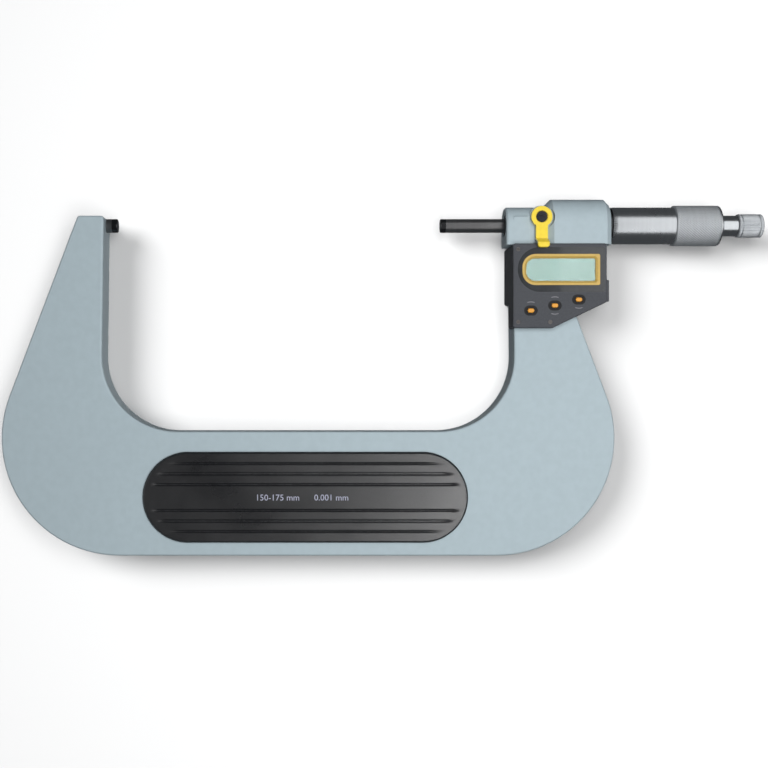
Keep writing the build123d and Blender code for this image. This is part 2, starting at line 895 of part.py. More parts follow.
# ---- ratchet ----
with BuildPart() as ratchet_base:
    tube(thimble_end, ratchet_base_end, ratchet_base_radius, ratchet_journal_radius)
    tooth_width = knob_bore_radius - ratchet_journal_radius - 2 * ratchet_tooth_margin
    with BuildSketch(Plane.YZ.offset(ratchet_base_end)) as teeth:
        with PolarLocations((ratchet_journal_radius + knob_bore_radius) / 2, ratchet_tooth_count):
            Rectangle(tooth_width, ratchet_tooth_height)
    extrude(teeth.sketch, amount=ratchet_tooth_height)
ratchet_base.part.label = "ratchet_base"
export_step(ratchet_base.part, "parts/ratchet_base.step")

with BuildPart() as ratchet_screw:
    head_end_x = screw_head_start + ratchet_screw_head_length
    turn([
        (thimble_end - ratchet_thread_length, 0),
        (thimble_end - ratchet_thread_length, ratchet_thread_radius),
        (thimble_end, ratchet_thread_radius),
        (thimble_end, ratchet_journal_radius),
        (screw_head_start, ratchet_journal_radius),
        (screw_head_start, ratchet_screw_head_radius),
        (head_end_x, ratchet_screw_head_radius),
        (head_end_x, 0),
    ])
    slab(
        head_end_x - ratchet_screw_head_length / 2,
        head_end_x,
        -ratchet_screw_head_radius,
        ratchet_screw_head_radius,
        -driver_slot_width / 2,
        driver_slot_width / 2,
        mode=Mode.SUBTRACT,
    )
ratchet_screw.part.label = "ratchet_screw"
export_step(ratchet_screw.part, "parts/ratchet_screw.step")

with BuildPart() as ratchet_disc:
    tube(ratchet_disc_start, ratchet_disc_end, knob_bore_radius, ratchet_journal_radius + slide_gap)
ratchet_disc.part.label = "ratchet_disc"
export_step(ratchet_disc.part, "parts/ratchet_disc.step")

with BuildPart() as ratchet_spring:
    spring_start = ratchet_disc_end + ratchet_spring_wire + end_gap
    spring_end = knob_wall_start - ratchet_spring_wire - end_gap
    spring_radius = (knob_bore_radius + ratchet_journal_radius) / 2
    with BuildLine() as coil:
        Helix(
            pitch=(spring_end - spring_start) / ratchet_spring_turns,
            height=spring_end - spring_start,
            radius=spring_radius,
            center=(spring_start, 0, 0),
            direction=(1, 0, 0),
        )
    with BuildSketch(Plane(origin=coil.line @ 0, z_dir=coil.line % 0)) as wire:
        Circle(ratchet_spring_wire)
    sweep(wire.sketch, path=coil.line)
ratchet_spring.part.label = "ratchet_spring"
export_step(ratchet_spring.part, "parts/ratchet_spring.step")

with BuildPart() as ratchet_knob:
    turn([
        (knob_start, knob_bore_radius),
        (knob_wall_start, knob_bore_radius),
        (knob_wall_start, ratchet_journal_radius + slide_gap),
        (knob_wall_end, ratchet_journal_radius + slide_gap),
        (knob_wall_end, knob_recess_radius),
        (knob_end, knob_recess_radius),
        (knob_end, knob_radius - knob_edge),
        (knob_end - knob_edge, knob_radius),
        (knob_start + knob_edge, knob_radius),
        (knob_start, knob_radius - knob_edge),
    ])
ratchet_knob.part.label = "ratchet_knob"
export_step(ratchet_knob.part, "parts/ratchet_knob.step")

with BuildPart() as ratchet_cap:
    cap_end = knob_end - ratchet_cap_setback
    turn([
        (cap_end - ratchet_cap_thickness, 0),
        (cap_end - ratchet_cap_thickness, knob_recess_radius),
        (cap_end, knob_recess_radius),
        (cap_end, 0),
    ])
ratchet_cap.part.label = "ratchet_cap"
export_step(ratchet_cap.part, "parts/ratchet_cap.step")

# ---- spindle lock ----
with BuildPart() as lock_shoe:
    post(lock_centre, lock_pin_radius, 0, lock_shoe_top)
    bore(head_start, spigot_end, shaft_bore)
lock_shoe.part.label = "lock_shoe"
export_step(lock_shoe.part, "parts/lock_shoe.step")

with BuildPart() as lock_pin:
    post(lock_centre, lock_pin_radius, lock_shoe_top + end_gap, lever_counterbore_floor - end_gap)
    post(lock_centre, lock_collar_radius, lock_seat + slide_gap, lever_back)
    screw_bottom = lever_counterbore_floor - lock_screw_length
    post(lock_centre, lock_screw_shank_radius, screw_bottom, lever_front, mode=Mode.SUBTRACT)
lock_pin.part.label = "lock_pin"
export_step(lock_pin.part, "parts/lock_pin.step")

with BuildPart() as lock_lever:
    tail_steps = (0, lever_bend_start, lever_bend_end, lever_tail_reach)
    lifts = (0, 0, lever_tip_lift, lever_tip_lift)
    lower = [(lock_y - step, lever_back + lift) for step, lift in zip(tail_steps, lifts)]
    upper = [(y, z + lever_thickness) for y, z in reversed(lower)]
    with BuildSketch(Plane.YZ.offset(lock_centre[0] - lever_tail_width / 2)) as side_view:
        with BuildLine():
            Polyline(*lower, *upper, close=True)
        make_face()
    extrude(amount=lever_tail_width)
    fillet(lock_lever.faces().sort_by(Axis.Y)[0].edges().filter_by(Axis.Z), lever_tail_width / 4)
    post(lock_centre, lever_ring_radius, lever_back, lever_front)
    chamfer(lock_lever.faces().sort_by(Axis.Z)[-1].edges(), tip_chamfer)
    post(lock_centre, lock_pin_radius, lever_back, lever_front, mode=Mode.SUBTRACT)
    post(lock_centre, lever_counterbore_radius, lever_counterbore_floor, lever_front, mode=Mode.SUBTRACT)
lock_lever.part.label = "lock_lever"
export_step(lock_lever.part, "parts/lock_lever.step")

with BuildPart() as lock_screw:
    lock_screw_top = lever_counterbore_floor + lock_screw_head_length
    post(lock_centre, lock_screw_shank_radius, screw_bottom, lever_counterbore_floor)
    post(lock_centre, lock_screw_head_radius, lever_counterbore_floor, lock_screw_top)
    slab(
        lock_centre[0] - lock_screw_head_radius,
        lock_centre[0] + lock_screw_head_radius,
        lock_y - driver_slot_width / 2,
        lock_y + driver_slot_width / 2,
        lock_screw_top - lock_screw_head_length / 2,
        lock_screw_top,
        mode=Mode.SUBTRACT,
    )
lock_screw.part.label = "lock_screw"
export_step(lock_screw.part, "parts/lock_screw.step")

# ---- display casing ----
with BuildPart() as display_casing:
    plate(casing_face(), 0, casing_front)
    fillet(display_casing.faces().sort_by(Axis.Z)[-1].edges(), display_corner / 2)
    plate(casing_face(inset=casing_wall), 0, casing_inside, mode=Mode.SUBTRACT)
    casing_bosses(1)
    plate(bezel_face(), recess_floor, casing_front, mode=Mode.SUBTRACT)
    plate(window_face(border_width - lens_lap), casing_inside, recess_floor, mode=Mode.SUBTRACT)
    for centre in button_centres:
        button_hole(centre)
        seal_size = (button_seal_length, button_seal_width)
        oval_post(centre, *seal_size, casing_front - button_seal_depth, casing_front, mode=Mode.SUBTRACT)
    port_plug(casing_right - casing_wall, casing_right, mode=Mode.SUBTRACT)
    flex_slot()
    add(arms.part, mode=Mode.SUBTRACT)
display_casing.part.label = "display_casing"
export_step(display_casing.part, "parts/display_casing.step")

with BuildPart() as rear_casing:
    plate(casing_face(rear=True), -casing_front, 0)
    fillet(rear_casing.faces().sort_by(Axis.Z)[0].edges(), display_corner / 2)
    plate(casing_face(inset=casing_wall, rear=True), -casing_inside, 0, mode=Mode.SUBTRACT)
    casing_bosses(-1)
    post(battery_centre, battery_cap_radius + casing_wall, -casing_inside, battery_boss_end)
    post(battery_centre, battery_cap_radius + pass_gap, -casing_front, cap_seat, mode=Mode.SUBTRACT)
    post(battery_centre, cap_neck_radius + pass_gap, cap_seat, battery_boss_end, mode=Mode.SUBTRACT)
    flex_slot()
    add(arms.part, mode=Mode.SUBTRACT)
rear_casing.part.label = "rear_casing"
export_step(rear_casing.part, "parts/rear_casing.step")

with BuildPart() as cover_screws:
    for side in (-1, 1):
        for place in screw_places(side):
            tip = cover_screw_head_length + cover_screw_length
            post(place, cover_screw_head_radius, *between(side, 0, cover_screw_head_length))
            post(place, cover_screw_radius, *between(side, cover_screw_head_length, tip))
            slab(
                place[0] - cover_screw_head_radius,
                place[0] + cover_screw_head_radius,
                place[1] - cover_slot_width / 2,
                place[1] + cover_slot_width / 2,
                *between(side, 0, cover_screw_head_length / 2),
                mode=Mode.SUBTRACT,
            )
cover_screws.part.label = "cover_screws"
export_step(cover_screws.part, "parts/cover_screws.step")

# ---- display window ----
with BuildPart() as display_bezel:
    plate(bezel_face(), recess_floor, casing_front + bezel_proud)
    plate(window_face(), recess_floor, casing_front + bezel_proud, mode=Mode.SUBTRACT)
display_bezel.part.label = "display_bezel"
export_step(display_bezel.part, "parts/display_bezel.step")

with BuildPart() as window_border:
    plate(window_face(), recess_floor, casing_front + border_proud)
    plate(window_face(border_width), recess_floor, casing_front + border_proud, mode=Mode.SUBTRACT)
    inner_rim = window_border.faces().sort_by(Axis.Z)[-1].inner_wires().edges()
    chamfer(inner_rim, border_width / 2)
window_border.part.label = "window_border"
export_step(window_border.part, "parts/window_border.step")

with BuildPart() as window_lens:
    plate(window_face(border_width - lens_lap), casing_inside, recess_floor)
window_lens.part.label = "window_lens"
export_step(window_lens.part, "parts/window_lens.step")

with BuildPart() as lcd_panel:
    plate(window_face(border_width - lcd_lap), lcd_back, lcd_front)
lcd_panel.part.label = "lcd_panel"
export_step(lcd_panel.part, "parts/lcd_panel.step")

with BuildPart() as lcd_connectors:
    lcd_left = casing_left + window_left + border_width + window_round
    lcd_right = casing_left + window_left + window_width - border_width
    lcd_top = casing_top - window_top - border_width
    lcd_low = casing_top - window_top - window_height + border_width
    for low in (lcd_low, lcd_top - connector_width):
        slab(lcd_left, lcd_right, low, low + connector_width, board_front, lcd_back)
lcd_connectors.part.label = "lcd_connectors"
export_step(lcd_connectors.part, "parts/lcd_connectors.step")

# ---- circuit board and what it carries ----
with BuildPart() as circuit_board:
    plate(board_face(), board_back, board_front)
circuit_board.part.label = "circuit_board"
export_step(circuit_board.part, "parts/circuit_board.step")

with BuildPart() as switch_domes:
    for centre in button_centres:
        post(centre, dome_radius, board_front, board_front + dome_height)
switch_domes.part.label = "switch_domes"
export_step(switch_domes.part, "parts/switch_domes.step")

with BuildPart() as data_socket:
    socket_right = casing_right - casing_wall - end_gap
    slab(
        socket_right - socket_depth,
        socket_right,
        port_centre_y - port_height / 2 + socket_inset,
        port_centre_y + port_height / 2 - socket_inset,
        board_back - port_width / 2,
        board_back,
    )
data_socket.part.label = "data_socket"
export_step(data_socket.part, "parts/data_socket.step")

with BuildPart() as port_cover:
    port_plug(casing_right - casing_wall, casing_right)
    port_plug(casing_right, casing_right + port_proud, grow=port_flange)
    fillet(port_cover.faces().sort_by(Axis.X)[-1].edges(), port_flange)
port_cover.part.label = "port_cover"
export_step(port_cover.part, "parts/port_cover.step")

# ---- buttons ----
for name, centre in zip(("left", "middle", "right"), button_centres):
    with BuildPart() as button:
        post(centre, button_stem_radius, button_stem_end, button_flange_back)
        post(centre, button_flange_radius, button_flange_back, button_flange_front)
        oval_post(centre, button_length, button_width, button_flange_front, casing_front + button_proud)
        fillet(button.faces().sort_by(Axis.Z)[-1].edges(), button_edge)
    button.part.label = f"button_{name}"
    export_step(button.part, f"parts/button_{name}.step")

with BuildPart() as button_seals:
    for centre in button_centres:
        oval_post(
            centre,
            button_seal_length,
            button_seal_width,
            casing_front - button_seal_depth,
            casing_front - end_gap,
        )
        button_hole(centre)
button_seals.part.label = "button_seals"
export_step(button_seals.part, "parts/button_seals.step")

# ---- battery ----
with BuildPart() as battery:
    post(battery_centre, battery_radius, battery_back, battery_front)
    fillet(battery.edges(), tip_chamfer)
battery.part.label = "battery"
export_step(battery.part, "parts/battery.step")

with BuildPart() as battery_holder:
    holder_end = battery_front + holder_wall
    post(battery_centre, battery_radius + pass_gap + holder_wall, battery_boss_end, holder_end)
    post(battery_centre, battery_radius + pass_gap, battery_boss_end, battery_front, mode=Mode.SUBTRACT)
    post(battery_centre, contact_radius + pass_gap, battery_front, holder_end, mode=Mode.SUBTRACT)
battery_holder.part.label = "battery_holder"
export_step(battery_holder.part, "parts/battery_holder.step")

with BuildPart() as battery_contact:
    post(battery_centre, contact_radius, battery_front, board_back)
battery_contact.part.label = "battery_contact"
export_step(battery_contact.part, "parts/battery_contact.step")

with BuildPart() as battery_cap_seal:
    post(battery_centre, battery_cap_radius, cap_flange_inside, cap_seat)
    post(battery_centre, cap_neck_radius + pass_gap, cap_flange_inside, cap_seat, mode=Mode.SUBTRACT)
battery_cap_seal.part.label = "battery_cap_seal"
export_step(battery_cap_seal.part, "parts/battery_cap_seal.step")

with BuildPart() as battery_cap:
    post(battery_centre, battery_cap_radius, -casing_front, cap_flange_inside)
    post(battery_centre, cap_neck_radius, cap_flange_inside, cap_neck_end)
    slab(
        battery_centre[0] - battery_cap_radius,
        battery_centre[0] + battery_cap_radius,
        battery_centre[1] - coin_slot_width / 2,
        battery_centre[1] + coin_slot_width / 2,
        -casing_front,
        -casing_front + coin_slot_depth,
        mode=Mode.SUBTRACT,
    )
battery_cap.part.label = "battery_cap"
export_step(battery_cap.part, "parts/battery_cap.step")

# ---- grip plates ----
with BuildPart() as grip_front:
    plate(grip_outline(), half_thickness, grip_front_z)
    chamfer(grip_front.faces().sort_by(Axis.Z)[-1].edges(), grip_rim_depth)
    plate(grip_grooves(), grip_front_z - groove_depth, grip_front_z, mode=Mode.SUBTRACT)
    for place in peg_centres:
        post(place, grip_peg_radius, half_thickness - grip_peg_length, half_thickness)
grip_front.part.label = "grip_front"
export_step(grip_front.part, "parts/grip_front.step")

with BuildPart() as grip_rear:
    add(grip_front.part.mirror(Plane.XY))
grip_rear.part.label = "grip_rear"
export_step(grip_rear.part, "parts/grip_rear.step")
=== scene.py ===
"""Looks of an outside micrometer, 150 to 175 mm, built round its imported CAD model.

Shapes are worked out in millimetres, in the frame of the CAD model, and stored in metres.
"""

import logging
import math
from collections.abc import Callable, Sequence
from dataclasses import dataclass, field
from enum import Enum
from functools import reduce

import bmesh
import bpy
import numpy as np
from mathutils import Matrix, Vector

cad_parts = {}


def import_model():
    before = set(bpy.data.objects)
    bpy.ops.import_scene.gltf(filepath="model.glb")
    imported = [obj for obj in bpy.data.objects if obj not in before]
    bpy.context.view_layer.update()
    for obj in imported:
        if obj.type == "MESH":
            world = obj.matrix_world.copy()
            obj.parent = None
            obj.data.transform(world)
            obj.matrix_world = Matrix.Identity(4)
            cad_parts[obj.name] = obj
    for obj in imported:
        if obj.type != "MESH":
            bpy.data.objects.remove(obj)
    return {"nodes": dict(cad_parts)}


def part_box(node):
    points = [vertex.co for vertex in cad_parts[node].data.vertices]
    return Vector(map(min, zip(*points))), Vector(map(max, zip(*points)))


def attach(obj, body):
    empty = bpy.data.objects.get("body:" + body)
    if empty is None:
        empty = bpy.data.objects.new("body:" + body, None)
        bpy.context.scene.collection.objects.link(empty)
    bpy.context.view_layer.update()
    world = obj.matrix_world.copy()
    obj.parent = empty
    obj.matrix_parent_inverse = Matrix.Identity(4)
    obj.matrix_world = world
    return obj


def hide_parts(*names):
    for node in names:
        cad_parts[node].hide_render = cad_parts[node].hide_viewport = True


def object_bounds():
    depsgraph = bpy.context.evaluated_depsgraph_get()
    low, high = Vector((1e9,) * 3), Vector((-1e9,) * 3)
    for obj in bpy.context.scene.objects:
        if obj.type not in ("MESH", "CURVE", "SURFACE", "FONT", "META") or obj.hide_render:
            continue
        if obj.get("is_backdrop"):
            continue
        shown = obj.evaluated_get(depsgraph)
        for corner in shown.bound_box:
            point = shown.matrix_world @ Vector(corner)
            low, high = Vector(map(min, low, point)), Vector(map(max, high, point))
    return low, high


MM = 0.001
Socket = bpy.types.NodeSocket
Colour = tuple[float, float, float]
Place = tuple[float, float, float]
LOG = logging.getLogger("micrometer")


# ---------------------------------------------------------------- meshes
@dataclass
class Shape:
    """Points in millimetres and the faces between them."""

    points: np.ndarray
    faces: list[list[int]]

    def joined(self, other: "Shape") -> "Shape":
        """Both shapes as one.

        Args:
            other: the shape to add.

        Returns:
            A shape that holds the points and faces of both.
        """
        shift = len(self.points)
        moved = [[corner + shift for corner in face] for face in other.faces]
        return Shape(np.vstack((self.points, other.points)), self.faces + moved)

    def outward(self) -> "Shape":
        """The shape with its faces turned outwards.

        Each face is a fan of triangles (a, b, c), and the sum of (a x b) . c over them is six times the
        volume inside, so a negative sum means that the faces point inwards.

        Returns:
            This shape, or one with every face reversed.
        """
        fans = [(face[0], b, c) for face in self.faces for b, c in zip(face[1:], face[2:])]
        a, b, c = (self.points[column] for column in np.array(fans).T)
        if np.einsum("ij,ij->", np.cross(a, b), c) >= 0:
            return self
        return Shape(self.points, [face[::-1] for face in self.faces])


def joined(shapes: Sequence[Shape]) -> Shape:
    """All the shapes as one."""
    return reduce(Shape.joined, shapes)


def grid_faces(rows: int, columns: int, close_rows: bool, close_columns: bool) -> list[list[int]]:
    """Quads of a grid of points numbered row by row.

    Args:
        rows: number of rows.
        columns: points in a row.
        close_rows: whether the last row joins the first.
        close_columns: whether a row's last point joins its first.

    Returns:
        Four point numbers for each quad.
    """
    row = np.arange(rows if close_rows else rows - 1)[:, None]
    column = np.arange(columns if close_columns else columns - 1)[None, :]
    next_row, next_column = (row + 1) % rows, (column + 1) % columns
    corners = (
        row * columns + column,
        row * columns + next_column,
        next_row * columns + next_column,
        next_row * columns + column,
    )
    return np.stack(corners, axis=-1).reshape(-1, 4).tolist()


def sewn_sheets(top: np.ndarray, bottom: np.ndarray) -> Shape:
    """A closed solid between two sheets of points on the same grid.

    The sheets are surfaces over two parameters, and a strip of quads joins their borders.

    Args:
        top: rows x columns x 3 points, whose faces look out by the right-hand rule.
        bottom: the same grid of points under it.

    Returns:
        The solid's shape.
    """
    rows, columns = top.shape[:2]
    upper = grid_faces(rows, columns, False, False)
    count = rows * columns
    lower = [[count + corner for corner in reversed(face)] for face in upper]
    number = np.arange(count).reshape(rows, columns)
    border = np.concatenate(
        (number[0, :-1], number[:-1, -1], number[-1, :0:-1], number[:0:-1, 0])
    )
    after = np.roll(border, -1)
    strip = np.stack((border, border + count, after + count, after), axis=-1).tolist()
    points = np.vstack((top.reshape(-1, 3), bottom.reshape(-1, 3)))
    return Shape(points, upper + lower + strip)


def full_turn(count: int) -> np.ndarray:
    """Evenly spaced angles of a full turn, as a row."""
    return np.linspace(0, 2 * np.pi, count, endpoint=False)[None, :]


def about_axis(x: np.ndarray, radius: np.ndarray, angles: np.ndarray) -> np.ndarray:
    """Points about the measuring axis: point = (x, -radius * sin(angle), radius * cos(angle)).

    Args:
        x: places along the axis.
        radius: distances from the axis.
        angles: angles round it, measured from +Z towards -Y.

    Returns:
        The points, on the grid that the three make together.
    """
    points = np.broadcast_arrays(x, -radius * np.sin(angles), radius * np.cos(angles))
    return np.stack(points, axis=-1)


def wrapped_tube(x: np.ndarray, radius: np.ndarray, angles: np.ndarray) -> Shape:
    """A ring about the measuring axis, whose outline may change on its way round.

    Args:
        x: places of the outline's points along the axis, a column or outline points x segments.
        radius: their distances from the axis, in the same way.
        angles: the angle of each segment.

    Returns:
        The closed shape.
    """
    points = about_axis(x, radius, angles)
    rows, columns = points.shape[:2]
    return Shape(points.reshape(-1, 3), grid_faces(rows, columns, True, True))


def turned(outline: np.ndarray, segments: int) -> Shape:
    """A ring about the measuring axis, from a closed outline of (x, radius) points."""
    return wrapped_tube(outline[:, :1], outline[:, 1:], full_turn(segments))


def thin_patch(x: np.ndarray, radius: np.ndarray, angles: np.ndarray, raised: float) -> Shape:
    """A thin solid set in a round surface, as far above it as below.

    Args:
        x: places along the axis, a column.
        radius: distances of the surface from the axis.
        angles: angles round it, a row.
        raised: how far the patch stands out of the surface.

    Returns:
        The solid's shape.
    """
    above, below = (about_axis(x, radius + rise, angles)[::-1] for rise in (raised, -raised))
    return sewn_sheets(above, below)


def rounded(corners: Sequence[tuple[float, float]], radii: Sequence[float], steps: int = 6) -> np.ndarray:
    """A closed outline with its corners rounded.

    Each corner P with radius r is replaced by a quadratic curve that starts r before P and ends r after
    it, (1-t)^2 A + 2t(1-t) P + t^2 B.

    Args:
        corners: the outline's corners, in order.
        radii: a rounding for each corner, 0 for a sharp one.
        steps: points on each rounded corner.

    Returns:
        The points of the outline.
    """
    at = np.array(corners, float)
    before = np.roll(at, 1, axis=0) - at
    after = np.roll(at, -1, axis=0) - at
    before /= np.linalg.norm(before, axis=1)[:, None]
    after /= np.linalg.norm(after, axis=1)[:, None]
    size = np.array(radii, float)[:, None]
    start, end = at + before * size, at + after * size
    t = np.linspace(0, 1, steps)[None, :, None]
    curve = (1 - t) ** 2 * start[:, None] + 2 * t * (1 - t) * at[:, None] + t**2 * end[:, None]
    pieces = [curve[i] if radii[i] else at[i : i + 1] for i in range(len(at))]
    return np.vstack(pieces)


def resampled(outline: np.ndarray, longest: float) -> np.ndarray:
    """A closed outline with points added on its long edges.

    Args:
        outline: its points.
        longest: no edge is longer than this afterwards.

    Returns:
        The points of the same outline.
    """
    after = np.roll(outline, -1, axis=0)
    counts = np.maximum(1, np.ceil(np.linalg.norm(after - outline, axis=1) / longest)).astype(int)
    runs = [a + (b - a) * np.arange(n)[:, None] / n for a, b, n in zip(outline, after, counts)]
    return np.vstack(runs)


def prism(outline: np.ndarray, low: float, high: float) -> Shape:
    """A solid with one flat outline from top to bottom.

    Args:
        outline: (x, y) points, anticlockwise.
        low: height of its underside.
        high: height of its top.

    Returns:
        The solid's shape.
    """
    count = len(outline)
    base = np.column_stack((outline, np.full(count, low)))
    lid = np.column_stack((outline, np.full(count, high)))
    number = np.arange(count)
    after = np.roll(number, -1)
    sides = np.stack((number, after, after + count, number + count), axis=-1).tolist()
    faces = [number[::-1].tolist(), (number + count).tolist(), *sides]
    return Shape(np.vstack((base, lid)), faces)


def read_out(work: bmesh.types.BMesh) -> Shape:
    """The points and faces of a working mesh, which is freed.

    Args:
        work: the working mesh.

    Returns:
        Its shape, in the mesh's own units.
    """
    work.verts.index_update()
    points = np.array([vert.co for vert in work.verts], float)
    faces = [[vert.index for vert in face.verts] for face in work.faces]
    work.free()
    return Shape(points, faces)


def lettering(words: str, height: float, thickness: float, cuts: int = 0) -> Shape:
    """Words as a thin solid in the XY plane, centred on the origin.

    Args:
        words: what it says.
        height: height of a figure.
        thickness: from its underside at z 0 to its top.
        cuts: cuts across each edge, so that it can be bent.

    Returns:
        The letters' shape.
    """
    curve = bpy.data.curves.new("letters", "FONT")
    curve.body = words
    curve.align_x, curve.align_y = "CENTER", "CENTER"
    curve.resolution_u = 3
    curve.extrude = 0.5
    holder = bpy.data.objects.new("letters", curve)
    mesh = bpy.data.meshes.new_from_object(holder)
    flat = np.empty(len(mesh.vertices) * 3, np.float32)
    mesh.vertices.foreach_get("co", flat)
    flat[2::3] = flat[2::3] > 0
    mesh.vertices.foreach_set("co", flat)
    work = bmesh.new()
    work.from_mesh(mesh)
    bmesh.ops.remove_doubles(work, verts=work.verts, dist=1e-5)
    if cuts:
        bmesh.ops.triangulate(work, faces=work.faces)
        bmesh.ops.subdivide_edges(work, edges=work.edges, cuts=cuts)
    bmesh.ops.recalc_face_normals(work, faces=work.faces)
    letters = read_out(work)
    bpy.data.meshes.remove(mesh)
    bpy.data.objects.remove(holder)
    bpy.data.curves.remove(curve)
    low, high = letters.points.min(0), letters.points.max(0)
    letters.points[:, :2] -= (low[:2] + high[:2]) / 2
    letters.points[:, :2] *= height / (high[1] - low[1])
    letters.points[:, 2] *= thickness
    return letters


def add_piece(name: str, shape: Shape, smooth_angle: float = 30.0) -> bpy.types.Object:
    """Puts a shape into the scene, in metres, with its object at the origin.

    Args:
        name: the piece's name.
        shape: its points and faces, in millimetres.
        smooth_angle: edges flatter than this are shaded smooth, in degrees.

    Returns:
        The new object.
    """
    shape = shape.outward()
    mesh = bpy.data.meshes.new(name)
    mesh.from_pydata((shape.points * MM).tolist(), [], shape.faces)
    mesh.validate()
    mesh.shade_smooth()
    mesh.set_sharp_from_angle(angle=math.radians(smooth_angle))
    piece = bpy.data.objects.new(name, mesh)
    bpy.context.scene.collection.objects.link(piece)
    return piece


def box_mm(node: str) -> tuple[np.ndarray, np.ndarray]:
    """Lowest and highest corner of a CAD node, in millimetres."""
    low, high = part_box(node)
    return np.array(low) / MM, np.array(high) / MM


def wave(cycles: np.ndarray) -> np.ndarray:
    """Triangle wave of period 1: 0 at whole numbers and 1 half way between them."""
    return 1 - np.abs(2 * (cycles % 1.0) - 1)


def ease(value: np.ndarray) -> np.ndarray:
    """Smooth step from 0 to 1 as the value goes from 0 to 1."""
    t = np.clip(value, 0, 1)
    return t * t * (3 - 2 * t)


# ---------------------------------------------------------------- node trees
class Tree:
    """Short calls for making and joining the nodes of one node tree."""

    def __init__(self, tree: bpy.types.NodeTree) -> None:
        """Starts on an empty node tree."""
        self.tree = tree

    def node(
        self, kind: str, *values: object, settings: dict[str, object] | None = None, **named: object
    ) -> bpy.types.Node:
        """Adds a node and fills its inputs.

        Args:
            kind: the node's type, such as ShaderNodeMath.
            *values: sockets or values for its first inputs, in order; None leaves one alone.
            settings: the node's own properties.
            **named: sockets or values by input name, with underscores for spaces.

        Returns:
            The node.
        """
        made = self.tree.nodes.new(kind)
        for key, value in (settings or {}).items():
            setattr(made, key, value)
        for place, value in enumerate(values):
            self.feed(made.inputs[place], value)
        for key, value in named.items():
            self.feed(made.inputs[key.replace("_", " ")], value)
        return made

    def feed(self, socket: Socket, value: object) -> None:
        """Fills one input.

        Args:
            socket: the input.
            value: a socket to link it to, or its value; None leaves it alone.
        """
        if isinstance(value, Socket):
            self.tree.links.new(value, socket)
        elif value is not None:
            socket.default_value = value

    def math(self, operation: str, *values: object, clamp: bool = False) -> Socket:
        """A Math node's result."""
        settings = {"operation": operation, "use_clamp": clamp}
        return self.node("ShaderNodeMath", *values, settings=settings).outputs[0]

    def spread(self, value: Socket, low: float, high: float, out_low: float, out_high: float) -> Socket:
        """A value carried from one range to another, and kept inside it."""
        return self.node("ShaderNodeMapRange", value, low, high, out_low, out_high).outputs[0]

    def blend(self, mask: Socket, first: object, second: object) -> Socket:
        """A colour between two, by a mask; a Mix node's colours are its seventh and eighth inputs."""
        inputs = (mask, *[None] * 5, first, second)
        return self.node("ShaderNodeMix", *inputs, settings={"data_type": "RGBA"}).outputs[2]

    def noise(self, vector: Socket | None, scale: object, detail: float = 2.0, **named: object) -> Socket:
        """A noise texture's value."""
        return self.node("ShaderNodeTexNoise", vector, Scale=scale, Detail=detail, **named).outputs["Fac"]

    def place(self) -> Socket:
        """Object coordinates."""
        return self.node("ShaderNodeTexCoord").outputs["Object"]

    def group(self, effect: "Effect", **named: object) -> bpy.types.Node:
        """Places a shared effect in this tree."""
        return self.node("ShaderNodeGroup", settings={"node_tree": effect.group()}, **named)


class Effect(Enum):
    """Surface effects that several finishes share; each is one node group, built once."""

    GRAIN = "grain"
    TURNING = "turning_marks"
    BRUSHING = "brushing"
    SCRATCHES = "scratches"
    WEAR = "edge_wear"
    SMUDGES = "smudges"

    def group(self) -> bpy.types.NodeTree:
        """The effect's node group, made at its first use.

        Returns:
            The node group.
        """
        made = bpy.data.node_groups.get(self.value)
        if made:
            return made
        made = bpy.data.node_groups.new(self.value, "ShaderNodeTree")
        inputs, outputs, build = EFFECTS[self]
        for name, value in inputs.items():
            kind = "NodeSocketVector" if isinstance(value, tuple) else "NodeSocketFloat"
            made.interface.new_socket(name, in_out="INPUT", socket_type=kind).default_value = value
        for name in outputs:
            made.interface.new_socket(name, in_out="OUTPUT", socket_type="NodeSocketFloat")
        tree = Tree(made)
        start = made.nodes.new("NodeGroupInput")
        end = made.nodes.new("NodeGroupOutput")
        for name, socket in build(tree, start.outputs).items():
            made.links.new(socket, end.inputs[name])
        return made


def build_grain(tree: Tree, given: bpy.types.NodeOutputs) -> dict[str, Socket]:
    """Moulded or sprayed grain: fine noise over coarser noise.

    Args:
        tree: the group's nodes.
        given: the group's inputs.

    Returns:
        What each of its outputs is linked to.
    """
    fine = tree.noise(tree.place(), given["Fineness"], 3.0)
    coarse = tree.noise(tree.place(), tree.math("MULTIPLY", given["Fineness"], 0.21), 1.0)
    height = tree.math("ADD", tree.math("MULTIPLY", fine, 0.6), tree.math("MULTIPLY", coarse, 0.4))
    return {"Height": height, "Tone": tree.spread(coarse, 0.3, 0.7, 0.0, 1.0)}


def build_turning(tree: Tree, given: bpy.types.NodeOutputs) -> dict[str, Socket]:
    """Rings that a lathe or grinder leaves: noise along the measuring axis only.

    Args:
        tree: the group's nodes.
        given: the group's inputs.

    Returns:
        What each of its outputs is linked to.
    """
    x = tree.node("ShaderNodeSeparateXYZ", tree.place()).outputs["X"]
    settings = {"noise_dimensions": "1D"}
    along = tree.math("MULTIPLY", x, given["Rings"])
    ring = tree.node("ShaderNodeTexNoise", settings=settings, W=along, Scale=1.0, Detail=3.0).outputs["Fac"]
    slow = tree.node("ShaderNodeTexNoise", settings=settings, W=along, Scale=0.07, Detail=1.0).outputs["Fac"]
    tone = tree.math("MULTIPLY", tree.spread(ring, 0.3, 0.7, 0.0, 1.0), tree.spread(slow, 0.3, 0.7, 0.4, 1.0))
    return {"Height": ring, "Tone": tone}


